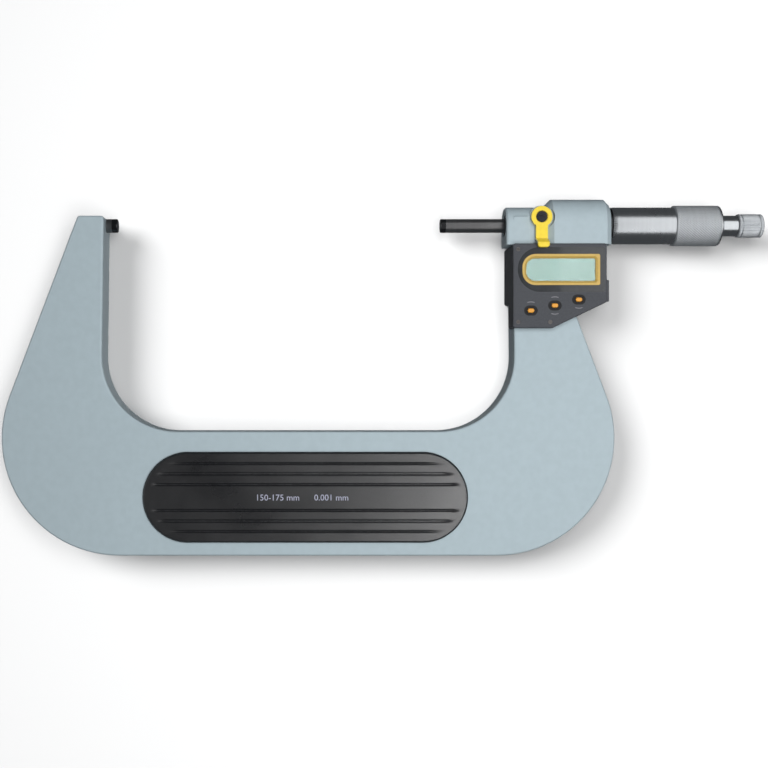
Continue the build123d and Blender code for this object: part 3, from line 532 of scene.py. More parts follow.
def build_brushing(tree: Tree, given: bpy.types.NodeOutputs) -> dict[str, Socket]:
    """Grinding or brushing lines: noise drawn out along one direction.

    Args:
        tree: the group's nodes.
        given: the group's inputs.

    Returns:
        What each of its outputs is linked to.
    """
    stretched = tree.node("ShaderNodeMapping", tree.place(), Scale=given["Stretch"]).outputs["Vector"]
    line = tree.noise(stretched, 1.0, 3.0)
    return {"Height": line, "Tone": tree.spread(line, 0.35, 0.65, 0.0, 1.0)}


def build_scratches(tree: Tree, given: bpy.types.NodeOutputs) -> dict[str, Socket]:
    """A few hair scratches: thin bands of stretched noise in two directions, in patches.

    Args:
        tree: the group's nodes.
        given: the group's inputs.

    Returns:
        What each of its outputs is linked to.
    """
    masks = []
    for turn in (0.5, -0.9):
        lean, stretch = (0.3, 0.2, turn), (40.0, 900.0, 900.0)
        way = tree.node("ShaderNodeMapping", tree.place(), Rotation=lean, Scale=stretch)
        hair = tree.noise(way.outputs["Vector"], 1.0, 1.0)
        near = tree.math("ABSOLUTE", tree.math("SUBTRACT", hair, 0.5))
        masks.append(tree.spread(near, 0.0, given["Width"], 1.0, 0.0))
    patch = tree.spread(tree.noise(tree.place(), 45.0, 1.0), 0.52, 0.66, 0.0, 1.0)
    return {"Mask": tree.math("MULTIPLY", tree.math("MAXIMUM", *masks), patch)}


def build_wear(tree: Tree, given: bpy.types.NodeOutputs) -> dict[str, Socket]:
    """Rubbed edges: where the normal of a rounded copy leaves the real one, broken up by noise.

    Args:
        tree: the group's nodes.
        given: the group's inputs.

    Returns:
        What each of its outputs is linked to.
    """
    soft = tree.node("ShaderNodeBevel", settings={"samples": 4}, Radius=given["Width"]).outputs[0]
    true = tree.node("ShaderNodeNewGeometry").outputs["Normal"]
    match = tree.node("ShaderNodeVectorMath", soft, true, settings={"operation": "DOT_PRODUCT"})
    edge = tree.spread(match.outputs["Value"], 0.9, 1.0, 1.0, 0.0)
    broken = tree.spread(tree.noise(tree.place(), 700.0, 4.0), 0.42, 0.62, 0.15, 1.0)
    return {"Mask": tree.math("MULTIPLY", edge, broken, clamp=True)}


def build_smudges(tree: Tree, given: bpy.types.NodeOutputs) -> dict[str, Socket]:
    """Handling marks: a roughness that drifts between two values in soft clouds.

    Args:
        tree: the group's nodes.
        given: the group's inputs.

    Returns:
        What each of its outputs is linked to.
    """
    cloud = tree.noise(tree.place(), given["Clouds"], 5.0, Distortion=0.6)
    mask = tree.spread(cloud, 0.35, 0.68, 0.0, 1.0)
    span = tree.math("SUBTRACT", given["High"], given["Low"])
    return {"Roughness": tree.math("ADD", given["Low"], tree.math("MULTIPLY", mask, span)), "Mask": mask}


Builder = Callable[[Tree, bpy.types.NodeOutputs], dict[str, Socket]]
EFFECTS: dict[Effect, tuple[dict[str, object], tuple[str, ...], Builder]] = {
    Effect.GRAIN: ({"Fineness": 3000.0}, ("Height", "Tone"), build_grain),
    Effect.TURNING: ({"Rings": 6000.0}, ("Height", "Tone"), build_turning),
    Effect.BRUSHING: ({"Stretch": (60.0, 3000.0, 3000.0)}, ("Height", "Tone"), build_brushing),
    Effect.SCRATCHES: ({"Width": 0.004}, ("Mask",), build_scratches),
    Effect.WEAR: ({"Width": 0.0005}, ("Mask",), build_wear),
    Effect.SMUDGES: ({"Low": 0.3, "High": 0.4, "Clouds": 30.0}, ("Roughness", "Mask"), build_smudges),
}


# ---------------------------------------------------------------- finishes
@dataclass(frozen=True)
class Finish:
    """A finish: a colour that drifts a little, a roughness between two values, and a fine grain."""

    name: str
    colour: Colour
    drift: float = 0.08  # how much the darkest tone falls below the colour
    rough: tuple[float, float] = (0.35, 0.45)
    clouds: float = 30.0
    metallic: float = 0.0
    grain: float = 3000.0
    relief: float = 0.00001  # height of the grain, in metres
    coat: float = 0.0

    def tone(self, tree: Tree) -> tuple[Socket, Socket]:
        """The pattern that tints and shapes the surface: its height and its tone."""
        made = tree.group(Effect.GRAIN, Fineness=self.grain)
        return made.outputs["Height"], made.outputs["Tone"]

    def extra(self, tree: Tree, shader: bpy.types.Node, colour: Socket) -> Socket:
        """Changes to the colour, or to the shader, that one kind of finish adds."""
        return colour

    def material(self) -> bpy.types.Material:
        """The finish as a material, made at its first use.

        Returns:
            The material.
        """
        title = f"{self.name}_surface"
        made = bpy.data.materials.get(title)
        if made:
            return made
        made = bpy.data.materials.new(title)
        made.use_nodes = True
        made.node_tree.nodes.clear()
        tree = Tree(made.node_tree)
        shader = tree.node("ShaderNodeBsdfPrincipled")
        shader.inputs["Metallic"].default_value = self.metallic
        shader.inputs["Coat Weight"].default_value = self.coat
        height, tone = self.tone(tree)
        smudges = tree.group(Effect.SMUDGES, Low=self.rough[0], High=self.rough[1], Clouds=self.clouds)
        tree.feed(shader.inputs["Roughness"], smudges.outputs["Roughness"])
        dark = tuple(part * (1 - self.drift) for part in self.colour)
        mixed = tree.math("MULTIPLY", tone, tree.spread(smudges.outputs["Mask"], 0.0, 1.0, 0.7, 1.0))
        colour = tree.blend(mixed, (*dark, 1.0), (*self.colour, 1.0))
        tree.feed(shader.inputs["Base Color"], self.extra(tree, shader, colour))
        bump = tree.node("ShaderNodeBump", Height=height, Distance=self.relief, Strength=1.0)
        tree.feed(shader.inputs["Normal"], bump.outputs["Normal"])
        tree.node("ShaderNodeOutputMaterial", shader.outputs[0])
        made.diffuse_color = (*self.colour, 1.0)
        return made


@dataclass(frozen=True)
class WornFinish(Finish):
    """Paint or plastic whose edges are rubbed."""

    worn: Colour = (0.6, 0.6, 0.6)
    wear: float = 0.5
    wear_width: float = 0.0006

    def extra(self, tree: Tree, shader: bpy.types.Node, colour: Socket) -> Socket:
        """Mixes the worn colour in along the edges."""
        mask = tree.group(Effect.WEAR, Width=self.wear_width).outputs["Mask"]
        return tree.blend(tree.math("MULTIPLY", mask, self.wear), colour, (*self.worn, 1.0))


@dataclass(frozen=True)
class TurnedFinish(Finish):
    """Metal turned or ground about the measuring axis."""

    rings: float = 9000.0
    metallic: float = 1.0
    scratched: float = 0.25
    glint: float = 1.4  # a scratch's brightness against the metal's

    def tone(self, tree: Tree) -> tuple[Socket, Socket]:
        """Rings along the axis."""
        made = tree.group(Effect.TURNING, Rings=self.rings)
        return made.outputs["Height"], made.outputs["Tone"]

    def extra(self, tree: Tree, shader: bpy.types.Node, colour: Socket) -> Socket:
        """Lightens hair scratches.

        Args:
            tree: the material's nodes.
            shader: its shader.
            colour: the colour so far.

        Returns:
            The colour with its scratches.
        """
        mask = tree.group(Effect.SCRATCHES).outputs["Mask"]
        light = tuple(min(1.0, part * self.glint) for part in self.colour)
        return tree.blend(tree.math("MULTIPLY", mask, self.scratched), colour, (*light, 1.0))


@dataclass(frozen=True)
class BrushedFinish(Finish):
    """Flat metal, ground or brushed along one direction."""

    stretch: tuple[float, float, float] = (200.0, 6000.0, 6000.0)
    metallic: float = 1.0

    def tone(self, tree: Tree) -> tuple[Socket, Socket]:
        """Lines along one direction."""
        made = tree.group(Effect.BRUSHING, Stretch=self.stretch)
        return made.outputs["Height"], made.outputs["Tone"]


@dataclass(frozen=True)
class ClearFinish(Finish):
    """The clear window over the display."""

    def extra(self, tree: Tree, shader: bpy.types.Node, colour: Socket) -> Socket:
        """Lets the light through.

        Args:
            tree: the material's nodes.
            shader: its shader.
            colour: the colour so far.

        Returns:
            The same colour.
        """
        shader.inputs["Transmission Weight"].default_value = 1.0
        shader.inputs["IOR"].default_value = 1.3
        return colour


FINISHES: dict[str, Finish] = {
    finish.name: finish
    for finish in (
        WornFinish("grey_enamel", (0.415, 0.502, 0.541), 0.05, (0.46, 0.56), 14.0, grain=1500.0,
                   relief=0.000012, coat=0.0, worn=(0.55, 0.6, 0.62), wear=0.35),
        WornFinish("black_grip", (0.007, 0.0072, 0.0088), 0.35, (0.26, 0.36), 25.0, grain=5200.0,
                   relief=0.00002, worn=(0.07, 0.075, 0.08), wear=0.5),
        WornFinish("dark_casing", (0.058, 0.062, 0.072), 0.2, (0.42, 0.55), 40.0, grain=7000.0,
                   relief=0.000012, worn=(0.12, 0.125, 0.13), wear=0.4, wear_width=0.0004),
        Finish("bezel_gloss", (0.028, 0.031, 0.034), 0.2, (0.14, 0.24), 60.0, grain=2500.0,
               relief=0.000002, coat=0.5),
        Finish("window_yellow", (0.62, 0.42, 0.11), 0.12, (0.28, 0.38), 90.0, grain=4000.0, relief=0.000004),
        ClearFinish("window_clear", (0.93, 0.98, 0.96), 0.0, (0.02, 0.05), 30.0, relief=0.0),
        Finish("lcd_green", (0.235, 0.365, 0.335), 0.12, (0.3, 0.4), 60.0, grain=500.0, relief=0.0),
        Finish("button_orange", (0.80, 0.36, 0.05), 0.12, (0.3, 0.4), 200.0, grain=6000.0, relief=0.000004),
        Finish("black_rubber", (0.018, 0.018, 0.019), 0.3, (0.6, 0.75), 80.0, grain=6000.0, relief=0.00001),
        Finish("cap_plastic", (0.05, 0.053, 0.06), 0.2, (0.4, 0.5), 80.0, grain=7000.0, relief=0.00001),
        TurnedFinish("ground_steel", (0.36, 0.355, 0.36), 0.2, (0.3, 0.4), 40.0, relief=0.0000012),
        TurnedFinish("carbide", (0.10, 0.10, 0.105), 0.2, (0.2, 0.28), 80.0, relief=0.000001),
        TurnedFinish("hard_steel", (0.40, 0.40, 0.41), 0.2, (0.25, 0.35), 80.0, relief=0.000002),
        TurnedFinish("satin_chrome", (0.62, 0.63, 0.64), 0.1, (0.3, 0.38), 60.0, relief=0.000001),
        TurnedFinish("bright_chrome", (0.56, 0.58, 0.60), 0.12, (0.22, 0.3), 50.0, relief=0.0000003),
        TurnedFinish("knurled_steel", (0.90, 0.93, 0.96), 0.12, (0.52, 0.64), 150.0, relief=0.000002),
        TurnedFinish("black_steel", (0.075, 0.078, 0.085), 0.3, (0.25, 0.36), 80.0, relief=0.000001),
        BrushedFinish("plated_screws", (0.24, 0.225, 0.22), 0.25, (0.28, 0.4), 150.0, relief=0.000002),
        WornFinish("lever_yellow", (0.93, 0.70, 0.045), 0.1, (0.3, 0.4), 120.0, grain=3000.0,
                   relief=0.000006, coat=0.3, worn=(0.82, 0.66, 0.2), wear=0.5, wear_width=0.0004),
        BrushedFinish("brass_shoe", (0.72, 0.52, 0.24), 0.2, (0.3, 0.4), 150.0, relief=0.000002),
        Finish("board_green", (0.03, 0.14, 0.07), 0.3, (0.35, 0.45), 100.0, grain=1800.0, relief=0.000006),
        Finish("ribbon_amber", (0.45, 0.2, 0.04), 0.2, (0.3, 0.4), 100.0, grain=3000.0, relief=0.000002),
        Finish("moulded_black", (0.035, 0.035, 0.037), 0.2, (0.5, 0.6), 80.0, grain=5000.0, relief=0.00001),
        BrushedFinish("cell_nickel", (0.68, 0.68, 0.66), 0.15, (0.25, 0.35), 80.0, relief=0.000001),
        Finish("print_ink", (0.45, 0.46, 0.58), 0.15, (0.5, 0.6), 400.0, grain=9000.0, relief=0.0),
        Finish("mark_black", (0.02, 0.02, 0.022), 0.1, (0.5, 0.6), 400.0, grain=9000.0, relief=0.0),
        Finish("mark_pale", (0.21, 0.21, 0.23), 0.15, (0.5, 0.6), 400.0, grain=9000.0, relief=0.0),
        Finish("lcd_segment", (0.222, 0.348, 0.319), 0.1, (0.3, 0.4), 100.0, grain=900.0, relief=0.0),
    )
}


def dress(piece: bpy.types.Object, finish: str) -> None:
    """Gives a piece or a CAD node one finish.

    Args:
        piece: the piece or the node.
        finish: the finish's name.
    """
    material = FINISHES[finish].material()
    if not piece.material_slots:
        piece.data.materials.append(material)
    for place in piece.material_slots:
        place.material = material


def fit(piece: bpy.types.Object, finish: str, slot: str, body: str, *nodes: str) -> bpy.types.Object:
    """Finishes a new piece, puts it on a body and hides the CAD nodes that it stands for.

    Args:
        piece: the new piece.
        finish: its finish.
        slot: the record's material slot; not used.
        body: the CAD body that it moves with.
        *nodes: the CAD nodes that it replaces.

    Returns:
        The piece.
    """
    dress(piece, finish)
    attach(piece, body)
    if nodes:
        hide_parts(*nodes)
    LOG.info("%s: %d faces on body %s", piece.name, len(piece.data.polygons), body)
    return piece


# ---------------------------------------------------------------- the object's pieces
@dataclass
class GripPlates:
    """The two long black plates on the beam, with their grooves and a printed line."""

    rim: float = 0.9  # width and depth of the bevelled edge
    rim_curve: float = 0.8
    groove_rows: tuple[float, ...] = (6.0, 10.8, 15.6)
    groove_half: float = 0.75
    groove_depth: float = 0.5
    groove_margin: float = 2.6  # end of a groove from the plate's edge
    groove_run_out: float = 4.0  # it deepens from nothing over this length
    crown: float = 0.18  # the middle of the plate stands this much higher than its edge
    columns: int = 300
    rows: int = 150
    words: str = "150-175 mm      0.001 mm"
    words_height: float = 2.75
    words_shift: float = -1.2  # from the middle of the plate
    ink: float = 0.03

    def measure(self) -> None:
        """Reads the plate's place from the CAD node."""
        low, high = box_mm("grip_front")
        self.centre = (low[:2] + high[:2]) / 2
        self.half_length, self.half_height = (high[:2] - low[:2]) / 2
        self.face = high[2]
        self.back = box_mm("frame")[1][2]

    def sheet(self) -> np.ndarray:
        """The plate's face over (u, v): rows of a round-ended outline, y = H sin(pi v / 2), x = u times the
        outline's half width at that y; its height falls at the bevelled rim and in the grooves.

        Returns:
            rows x columns x 3 points, about the plate's middle.
        """
        v = np.linspace(-1, 1, self.rows)[:, None]
        y = self.half_height * np.sin(np.pi / 2 * v) + np.zeros((1, self.columns))
        straight = self.half_length - self.half_height
        reach = straight + np.sqrt(np.maximum(self.half_height**2 - y**2, 0))
        spread = np.linspace(-1, 1, self.columns)[None, :]
        x = reach * np.sin(np.pi / 2 * spread)
        inside = self.half_height - np.hypot(np.maximum(np.abs(x) - straight, 0), y)
        rim = self.rim * (1 - ease(inside / self.rim) ** self.rim_curve)
        depth = np.zeros_like(x)
        for row in self.groove_rows:
            across = np.clip(1 - np.abs(np.abs(y) - row) / self.groove_half, 0, 1)
            depth += ease(across) * self.groove_depth
        depth *= ease((inside - self.groove_margin) / self.groove_run_out)
        swell = self.crown * (1 - (y / self.half_height) ** 2) * ease(inside / self.half_height)
        z = self.face - self.crown - rim - depth + swell
        return np.stack((x, y, z), axis=-1)

    def plate(self, name: str, side: int) -> bpy.types.Object:
        """One plate as a solid.

        Args:
            name: its name.
            side: 1 for the front, -1 for the back.

        Returns:
            The piece.
        """
        top = self.sheet()
        bottom = top.copy()
        bottom[..., 2] = self.back
        shape = sewn_sheets(top, bottom)
        shape.points[:, :2] += self.centre
        shape.points[:, 2] *= side
        return add_piece(name, shape, 35.0)

    def build(self) -> None:
        """Makes both plates and the printed line on the front one."""
        self.measure()
        for end, side in (("front", 1), ("rear", -1)):
            plate = self.plate(f"grip_plate_{end}", side)
            fit(plate, "black_grip", "black_grip", "frame", f"grip_{end}")
        words = lettering(self.words, self.words_height, self.ink, cuts=1)
        words.points += (self.centre[0] + self.words_shift, self.centre[1], 0)
        height = self.crown * (1 - ((words.points[:, 1] - self.centre[1]) / self.half_height) ** 2)
        words.points[:, 2] += self.face - self.crown + height
        fit(add_piece("grip_print", words), "print_ink", "black_grip", "frame")


@dataclass
class Knurl:
    """A pattern of raised teeth cut into a round surface."""

    count: int  # teeth round the ring
    depth: float
    pitch: float = 0.0  # length of a diamond along the axis; 0 for straight teeth
    flat: float = 0.75  # share of a tooth's height that is left after its tip is flattened

    def cut(self, x: np.ndarray, angles: np.ndarray) -> np.ndarray:
        """Depth of the cut: the lesser of two helical triangle waves, with its top cut flat.

        Args:
            x: places along the axis.
            angles: angles round it.

        Returns:
            How far the surface lies below its full radius.
        """
        turn = angles / (2 * np.pi) * self.count
        lean = x / self.pitch if self.pitch else 0 * x
        tooth = np.minimum(wave(turn + lean), wave(turn - lean)) if self.pitch else wave(turn + 0 * x)
        return self.depth * (1 - np.minimum(tooth / self.flat, 1))


@dataclass
class Thimble:
    """The thimble: a bright barrel with a graduated bevel, and a knurled ring."""

    bevel: float = 1.9  # length of the graduated cone
    front_drop: float = 0.12  # its fall over that length
    edge: float = 0.25
    end_taper: float = 1.7
    end_radius: float = 5.8
    bore: float = 7.45
    wall: float = 4.7
    hub_bore: float = 2.9
    ring_step: float = 0.85  # the barrel under the ring is this much smaller than the ring
    ring_clearance: float = 0.02
    rounding: tuple[float, ...] = (0.08, 0.12, 0.35, 0, 0.125, 0.6, 0.4, 0.1, 0.1, 0.3)  # corner by corner
    longest: float = 4.0  # edge of the barrel's outline
    segments: int = 192  # steps round the barrel
    marks: int = 50
    mark_width: float = 0.12
    mark_start: float = 0.12
    mark_raise: float = 0.015
    mark_lengths: tuple[float, float] = (0.6, 0.86)  # short and long, as shares of the cone
    knurl: Knurl = field(default_factory=lambda: Knurl(54, 0.28, 1.35))
    knurl_margin: float = 0.45  # plain rim at each end of the knurled ring
    knurl_run_out: float = 0.25
    samples: int = 8  # points on each tooth

    def measure(self) -> None:
        """Reads the places of the barrel and the ring from the CAD nodes."""
        low, high = box_mm("thimble")
        self.start, self.end = low[0], high[0]
        low, high = box_mm("thimble_grip")
        self.ring_start, self.ring_end, self.ring_radius = low[0], high[0], high[2]
        self.radius = self.ring_radius - self.ring_step

    def barrel(self) -> bpy.types.Object:
        """The barrel: a rounded outline carried round the axis.

        Returns:
            The piece.
        """
        step, hub = self.ring_end - self.ring_clearance, self.end - self.wall
        corners = [
            (self.start, self.bore), (self.start, self.radius - self.front_drop),
            (self.start + self.bevel, self.radius), (step, self.radius), (step, self.ring_radius),
            (self.end - self.end_taper, self.ring_radius), (self.end, self.end_radius),
            (self.end, self.hub_bore), (hub, self.hub_bore), (hub, self.bore),
        ]
        outline = resampled(rounded(corners, self.rounding), self.longest)
        return add_piece("thimble_barrel", turned(outline, self.segments), 40.0)

    def knurled_ring(self) -> bpy.types.Object:
        """The knurled ring: its outer face is a grid over (x, angle) with the knurl cut into it.

        Returns:
            The piece.
        """
        angles = full_turn(self.knurl.count * self.samples)
        rows = int((self.ring_end - self.ring_start) / self.knurl.pitch * self.samples)
        x = np.linspace(self.ring_start, self.ring_end, rows)[:, None] + 0 * angles
        inside = np.minimum(x - self.ring_start, self.ring_end - x)
        edge = self.edge * (1 - ease(inside / self.edge))
        cut = self.knurl.cut(x, angles) * ease((inside - self.knurl_margin) / self.knurl_run_out)
        ends = np.array([[self.ring_end], [self.ring_start]]) + 0 * angles
        radius = np.vstack((self.ring_radius - edge - cut, 0 * ends + self.radius))
        shape = wrapped_tube(np.vstack((x, ends))[::-1], radius[::-1], angles)
        return add_piece("thimble_knurl", shape, 50.0)

    def graduations(self) -> bpy.types.Object:
        """Fifty lines on the bevel, each a thin solid patch on the cone, every fifth one longer.

        Returns:
            The piece.
        """
        half = self.mark_width / 2 / self.radius
        shapes = []
        for mark in range(self.marks):
            length = self.bevel * self.mark_lengths[mark % 5 == 0]
            x = self.start + np.array([[self.mark_start], [length]])
            angles = 2 * np.pi * mark / self.marks + np.array([[-half, half]])
            radius = self.radius - self.front_drop * (1 - (x - self.start) / self.bevel)
            shapes.append(thin_patch(x, radius, angles, self.mark_raise))
        return add_piece("thimble_graduations", joined(shapes))

    def build(self) -> None:
        """Makes the barrel, its lines and the knurled ring."""
        self.measure()
        fit(self.barrel(), "bright_chrome", "bright_chrome", "spindle", "thimble")
        fit(self.knurled_ring(), "knurled_steel", "knurled_steel", "spindle", "thimble_grip")
        fit(self.graduations(), "mark_black", "bright_chrome", "spindle")


@dataclass
class Sleeve:
    """The graduated sleeve that the thimble uncovers as the spindle opens."""

    travel: int = 25
    overrun: float = 1.0  # the long line goes on past the last graduation
    wall: float = 1.0
    rounding: tuple[float, ...] = (0.0, 0.0, 0.3, 0.1)  # corner by corner
    longest: float = 3.0  # edge of the sleeve's outline
    segments: int = 160  # steps round the sleeve
    line_width: float = 0.14
    line_angles: tuple[float, float] = (0.17, 0.24)  # short and long lines
    raise_by: float = 0.015
    figure_height: float = 1.7
    figure_angle: float = 0.36
    figure_shift: float = 0.9  # the 0 stands clear of the head

    def patch(self, x_low: float, x_high: float, angle_low: float, angle_high: float) -> Shape:
        """A thin solid patch on the sleeve.

        Args:
            x_low: its start along the axis.
            x_high: its end along the axis.
            angle_low: its start round the sleeve.
            angle_high: its end round the sleeve.

        Returns:
            The patch's shape.
        """
        angles = np.linspace(angle_low, angle_high, 7)[None, :]
        return thin_patch(np.array([[x_low], [x_high]]), self.radius, angles, self.raise_by)

    def figure(self, number: int, x: float) -> Shape:
        """A number bent round the sleeve: its y becomes an angle, and its z a distance from the axis.

        Args:
            number: the number.
            x: the place of its middle along the axis.

        Returns:
            Its shape.
        """
        flat = lettering(str(number), self.figure_height, self.raise_by, cuts=2)
        angle = self.figure_angle - flat.points[:, 1] / self.radius
        flat.points = about_axis(x + flat.points[:, 0], self.radius + flat.points[:, 2], angle)
        return flat

    def build(self) -> None:
        """Makes the sleeve, its lines and its figures."""
        low, high = box_mm("outer_sleeve")
        self.radius = high[2]
        inner = self.radius - self.wall
        corners = [(low[0], inner), (low[0], self.radius), (high[0], self.radius), (high[0], inner)]
        outline = resampled(rounded(corners, self.rounding), self.longest)
        barrel = add_piece("sleeve_barrel", turned(outline, self.segments))
        fit(barrel, "satin_chrome", "satin_chrome", "frame", "outer_sleeve")
        zero = box_mm("thimble")[0][0]
        half = self.line_width / 2
        turn = half / self.radius
        lines = [self.patch(zero, zero + self.travel + self.overrun, -turn, turn)]
        figures = []
        for step in range(2 * self.travel + 1):
            x = zero + step / 2
            tenth = step % 10 == 0
            ends = (-self.line_angles[0], 0.0) if step % 2 else (0.0, self.line_angles[tenth])
            lines.append(self.patch(x - half, x + half, *ends))
            if tenth:
                figures.append(self.figure(step // 2, x + (0.0 if step else self.figure_shift)))
        fit(add_piece("sleeve_lines", joined(lines)), "mark_black", "satin_chrome", "frame")
        fit(add_piece("sleeve_figures", joined(figures)), "mark_black", "satin_chrome", "frame")


@dataclass
class RatchetKnob:
    """The knurled knob of the ratchet stop."""

    knurl: Knurl = field(default_factory=lambda: Knurl(44, 0.2, 0.0, 0.7))
    knurl_margin: float = 0.3  # plain rim at each end
    knurl_run_out: float = 0.3
    samples: int = 8  # points on each tooth
    rows: int = 64
    edge: float = 0.6
    edge_start: float = 0.15  # share of the rounding that the flat end cuts off
    rings: tuple[float, ...] = (0.14, 0.84)  # plain grooves across the knurl, as shares of its length
    ring_half: float = 0.35
    ring_depth: float = 0.3
    mouth: float = 3.9
    cavity: float = 5.6
    floor: float = 6.8
    journal: float = 1.53
    recess: float = 3.1

    def build(self) -> None:
        """Makes the knob: a grid over (x, angle) outside, and the CAD outline's stepped bore inside."""
        low, high = box_mm("ratchet_knob")
        start, end, radius = low[0], high[0], high[2]
        angles = full_turn(self.knurl.count * self.samples)
        x = np.linspace(start, end, self.rows)[:, None] + 0 * angles
        inside = np.minimum(x - start, end - x)
        edge = self.edge * (1 - ease(inside / self.edge + self.edge_start))
        share = (x - start) / (end - start)
        ring = sum(
            ease(1 - np.abs(share - place) * (end - start) / self.ring_half) for place in self.rings
        )
        plain = ease((inside - self.knurl_margin) / self.knurl_run_out)
        cut = self.knurl.cut(x, angles) * plain * (1 - np.clip(ring, 0, 1))
        outer = radius - edge - cut - ring * self.ring_depth
        bore = np.array([
            (end, self.recess), (start + self.floor, self.recess), (start + self.floor, self.journal),
            (start + self.cavity, self.journal), (start + self.cavity, self.mouth), (start, self.mouth),
        ])
        x = np.vstack((x, bore[:, :1] + 0 * angles))
        radius = np.vstack((outer, bore[:, 1:] + 0 * angles))
        shape = wrapped_tube(x[::-1], radius[::-1], angles)
        fit(add_piece("knob", shape, 45.0), "knurled_steel", "knurled_steel", "ratchet", "ratchet_knob")


@dataclass
class LockLever:
    """The yellow lever of the spindle lock."""

    softness: float = 0.35  # width of the rounded edges
    flat_angle: float = 2.0  # degrees; flatter edges are dissolved
    sharp_angle: float = 35.0  # degrees; sharper edges are rounded
    rings: int = 3

    def build(self) -> None:
        """Rounds the edges of a copy of the CAD lever."""
        source = bpy.data.objects["lock_lever"]
        work = bmesh.new()
        work.from_mesh(source.data)
        bmesh.ops.remove_doubles(work, verts=work.verts, dist=1e-6)
        flat = math.radians(self.flat_angle)
        bmesh.ops.dissolve_limit(work, angle_limit=flat, verts=work.verts, edges=work.edges)
        shape = read_out(work)
        shape.points /= MM
        piece = add_piece("lever", shape, 40.0)
        bevel = piece.modifiers.new("soft_edges", "BEVEL")
        bevel.width = self.softness * MM
        bevel.segments = self.rings
        bevel.limit_method = "ANGLE"
        bevel.angle_limit = math.radians(self.sharp_angle)
        bevel.harden_normals = True
        fit(piece, "lever_yellow", "lever_yellow", "lock", "lock_lever")


@dataclass
class Display:
    """What is drawn in and round the display: idle segments, and marks beside the buttons."""

    figures: int = 6
    height: float = 7.0
    slant: float = 0.1
    stroke: float = 0.9
    aspect: float = 0.52
    pitch: float = 4.7
    gap: float = 0.12  # between the ends of two bars
    mark_radii: tuple[float, float] = (3.75, 4.15)
    mark_half_angle: float = 0.42
    rise: float = 0.02

    def bar(self, start: np.ndarray, end: np.ndarray) -> np.ndarray:
        """A six-sided bar, pointed at both ends, half a stroke either side of its middle line.

        Args:
            start: the corner of the figure that it comes from.
            end: the corner that it goes to.

        Returns:
            Its outline.
        """
        along = (end - start) / np.linalg.norm(end - start)
        tip = along * self.stroke / 2
        across = np.array([-tip[1], tip[0]])
        first, last = start + along * self.gap, end - along * self.gap
        sides = (first + tip - across, last - tip - across, last, last - tip + across, first + tip + across)
        return np.array([first, *sides])

    def segments(self) -> bpy.types.Object:
        """Seven bars for each figure, as thin solids on the panel.

        Returns:
            The piece.
        """
        low, high = box_mm("lcd_panel")
        middle = (low + high) / 2
        half_w, half_h = self.height * self.aspect / 2, self.height / 2
        left = middle[0] - (self.figures - 1) * self.pitch / 2
        nodes = np.array([(sx * half_w, sy * half_h) for sy in (-1, 0, 1) for sx in (-1, 1)])
        pairs = ((0, 1), (2, 3), (4, 5), (0, 2), (1, 3), (2, 4), (3, 5))
        shapes = []
        for place in range(self.figures):
            for a, b in pairs:
                outline = self.bar(nodes[a], nodes[b])
                outline[:, 0] += outline[:, 1] * self.slant + left + place * self.pitch
                outline[:, 1] += middle[1]
                shapes.append(prism(outline, high[2] - self.rise, high[2] + self.rise))
        return add_piece("lcd_segments", joined(shapes))

    def button_marks(self) -> bpy.types.Object:
        """Short pale arcs by the buttons: bars bent to a circle about each button.

        Returns:
            The piece.
        """
        face = box_mm("display_casing")[1][2]
        shapes = []
        for name, sides in (("button_left", (1,)), ("button_middle", (1, -1)), ("button_right", (-1,))):
            low, high = box_mm(name)
            centre = (low + high)[:2] / 2
            for side in sides:
                reach = np.linspace(-self.mark_half_angle, self.mark_half_angle, 13)
                angle = reach[::-1, None] + side * np.pi / 2
                x = centre[0] + np.array(self.mark_radii) * np.cos(angle)
                y = centre[1] + np.array(self.mark_radii) * np.sin(angle)
                above, below = (
                    np.stack((x, y, np.full_like(x, face + z)), axis=-1) for z in (self.rise, -self.rise)
                )
                shapes.append(sewn_sheets(above, below))
        return add_piece("button_marks", joined(shapes))

    def build(self) -> None:
        """Makes the segments and the marks."""
        fit(self.segments(), "lcd_segment", "lcd_green", "frame")
        fit(self.button_marks(), "mark_pale", "dark_casing", "frame")


@dataclass
class CadNodes:
    """The CAD nodes that stay as they are, each in the finish of its material slot."""

    nodes: dict[str, bpy.types.Object]

    def build(self) -> None:
        """Swaps each node's plain material for its finish."""
        for name, node in self.nodes.items():
            slot = node.material_slots[0].material.name.split(".")[0]
            dress(node, slot)
            LOG.info("%s: finish %s", name, slot)


class Rays(Enum):
    """Kinds of rays that a light can be kept from, by the property that does it."""

    GLOSSY = "visible_glossy"
    DIFFUSE = "visible_diffuse"


def hang(data: bpy.types.Light, place: Place, way: Vector) -> bpy.types.Object:
    """Puts a light into the scene.

    Args:
        data: the light's data.
        place: where it stands, in metres.
        way: the direction that it shines in.

    Returns:
        The light.
    """
    light = bpy.data.objects.new(data.name, data)
    light.location = place
    light.rotation_euler = way.to_track_quat("-Z", "Y").to_euler()
    bpy.context.scene.collection.objects.link(light)
    return light


@dataclass(frozen=True)
class SoftBox:
    """A rectangular light that looks at a target, in metres and watts."""

    name: str
    place: Place
    target: Place
    size: tuple[float, float]
    power: float
    hidden: Rays  # the rays that don't meet it

    def build(self) -> bpy.types.Object:
        """Makes the light.

        Returns:
            The light.
        """
        data = bpy.data.lights.new(self.name, "AREA")
        data.shape = "RECTANGLE"
        data.size, data.size_y = self.size
        data.energy = self.power
        light = hang(data, self.place, Vector(self.target) - Vector(self.place))
        setattr(light, self.hidden.value, False)
        return light


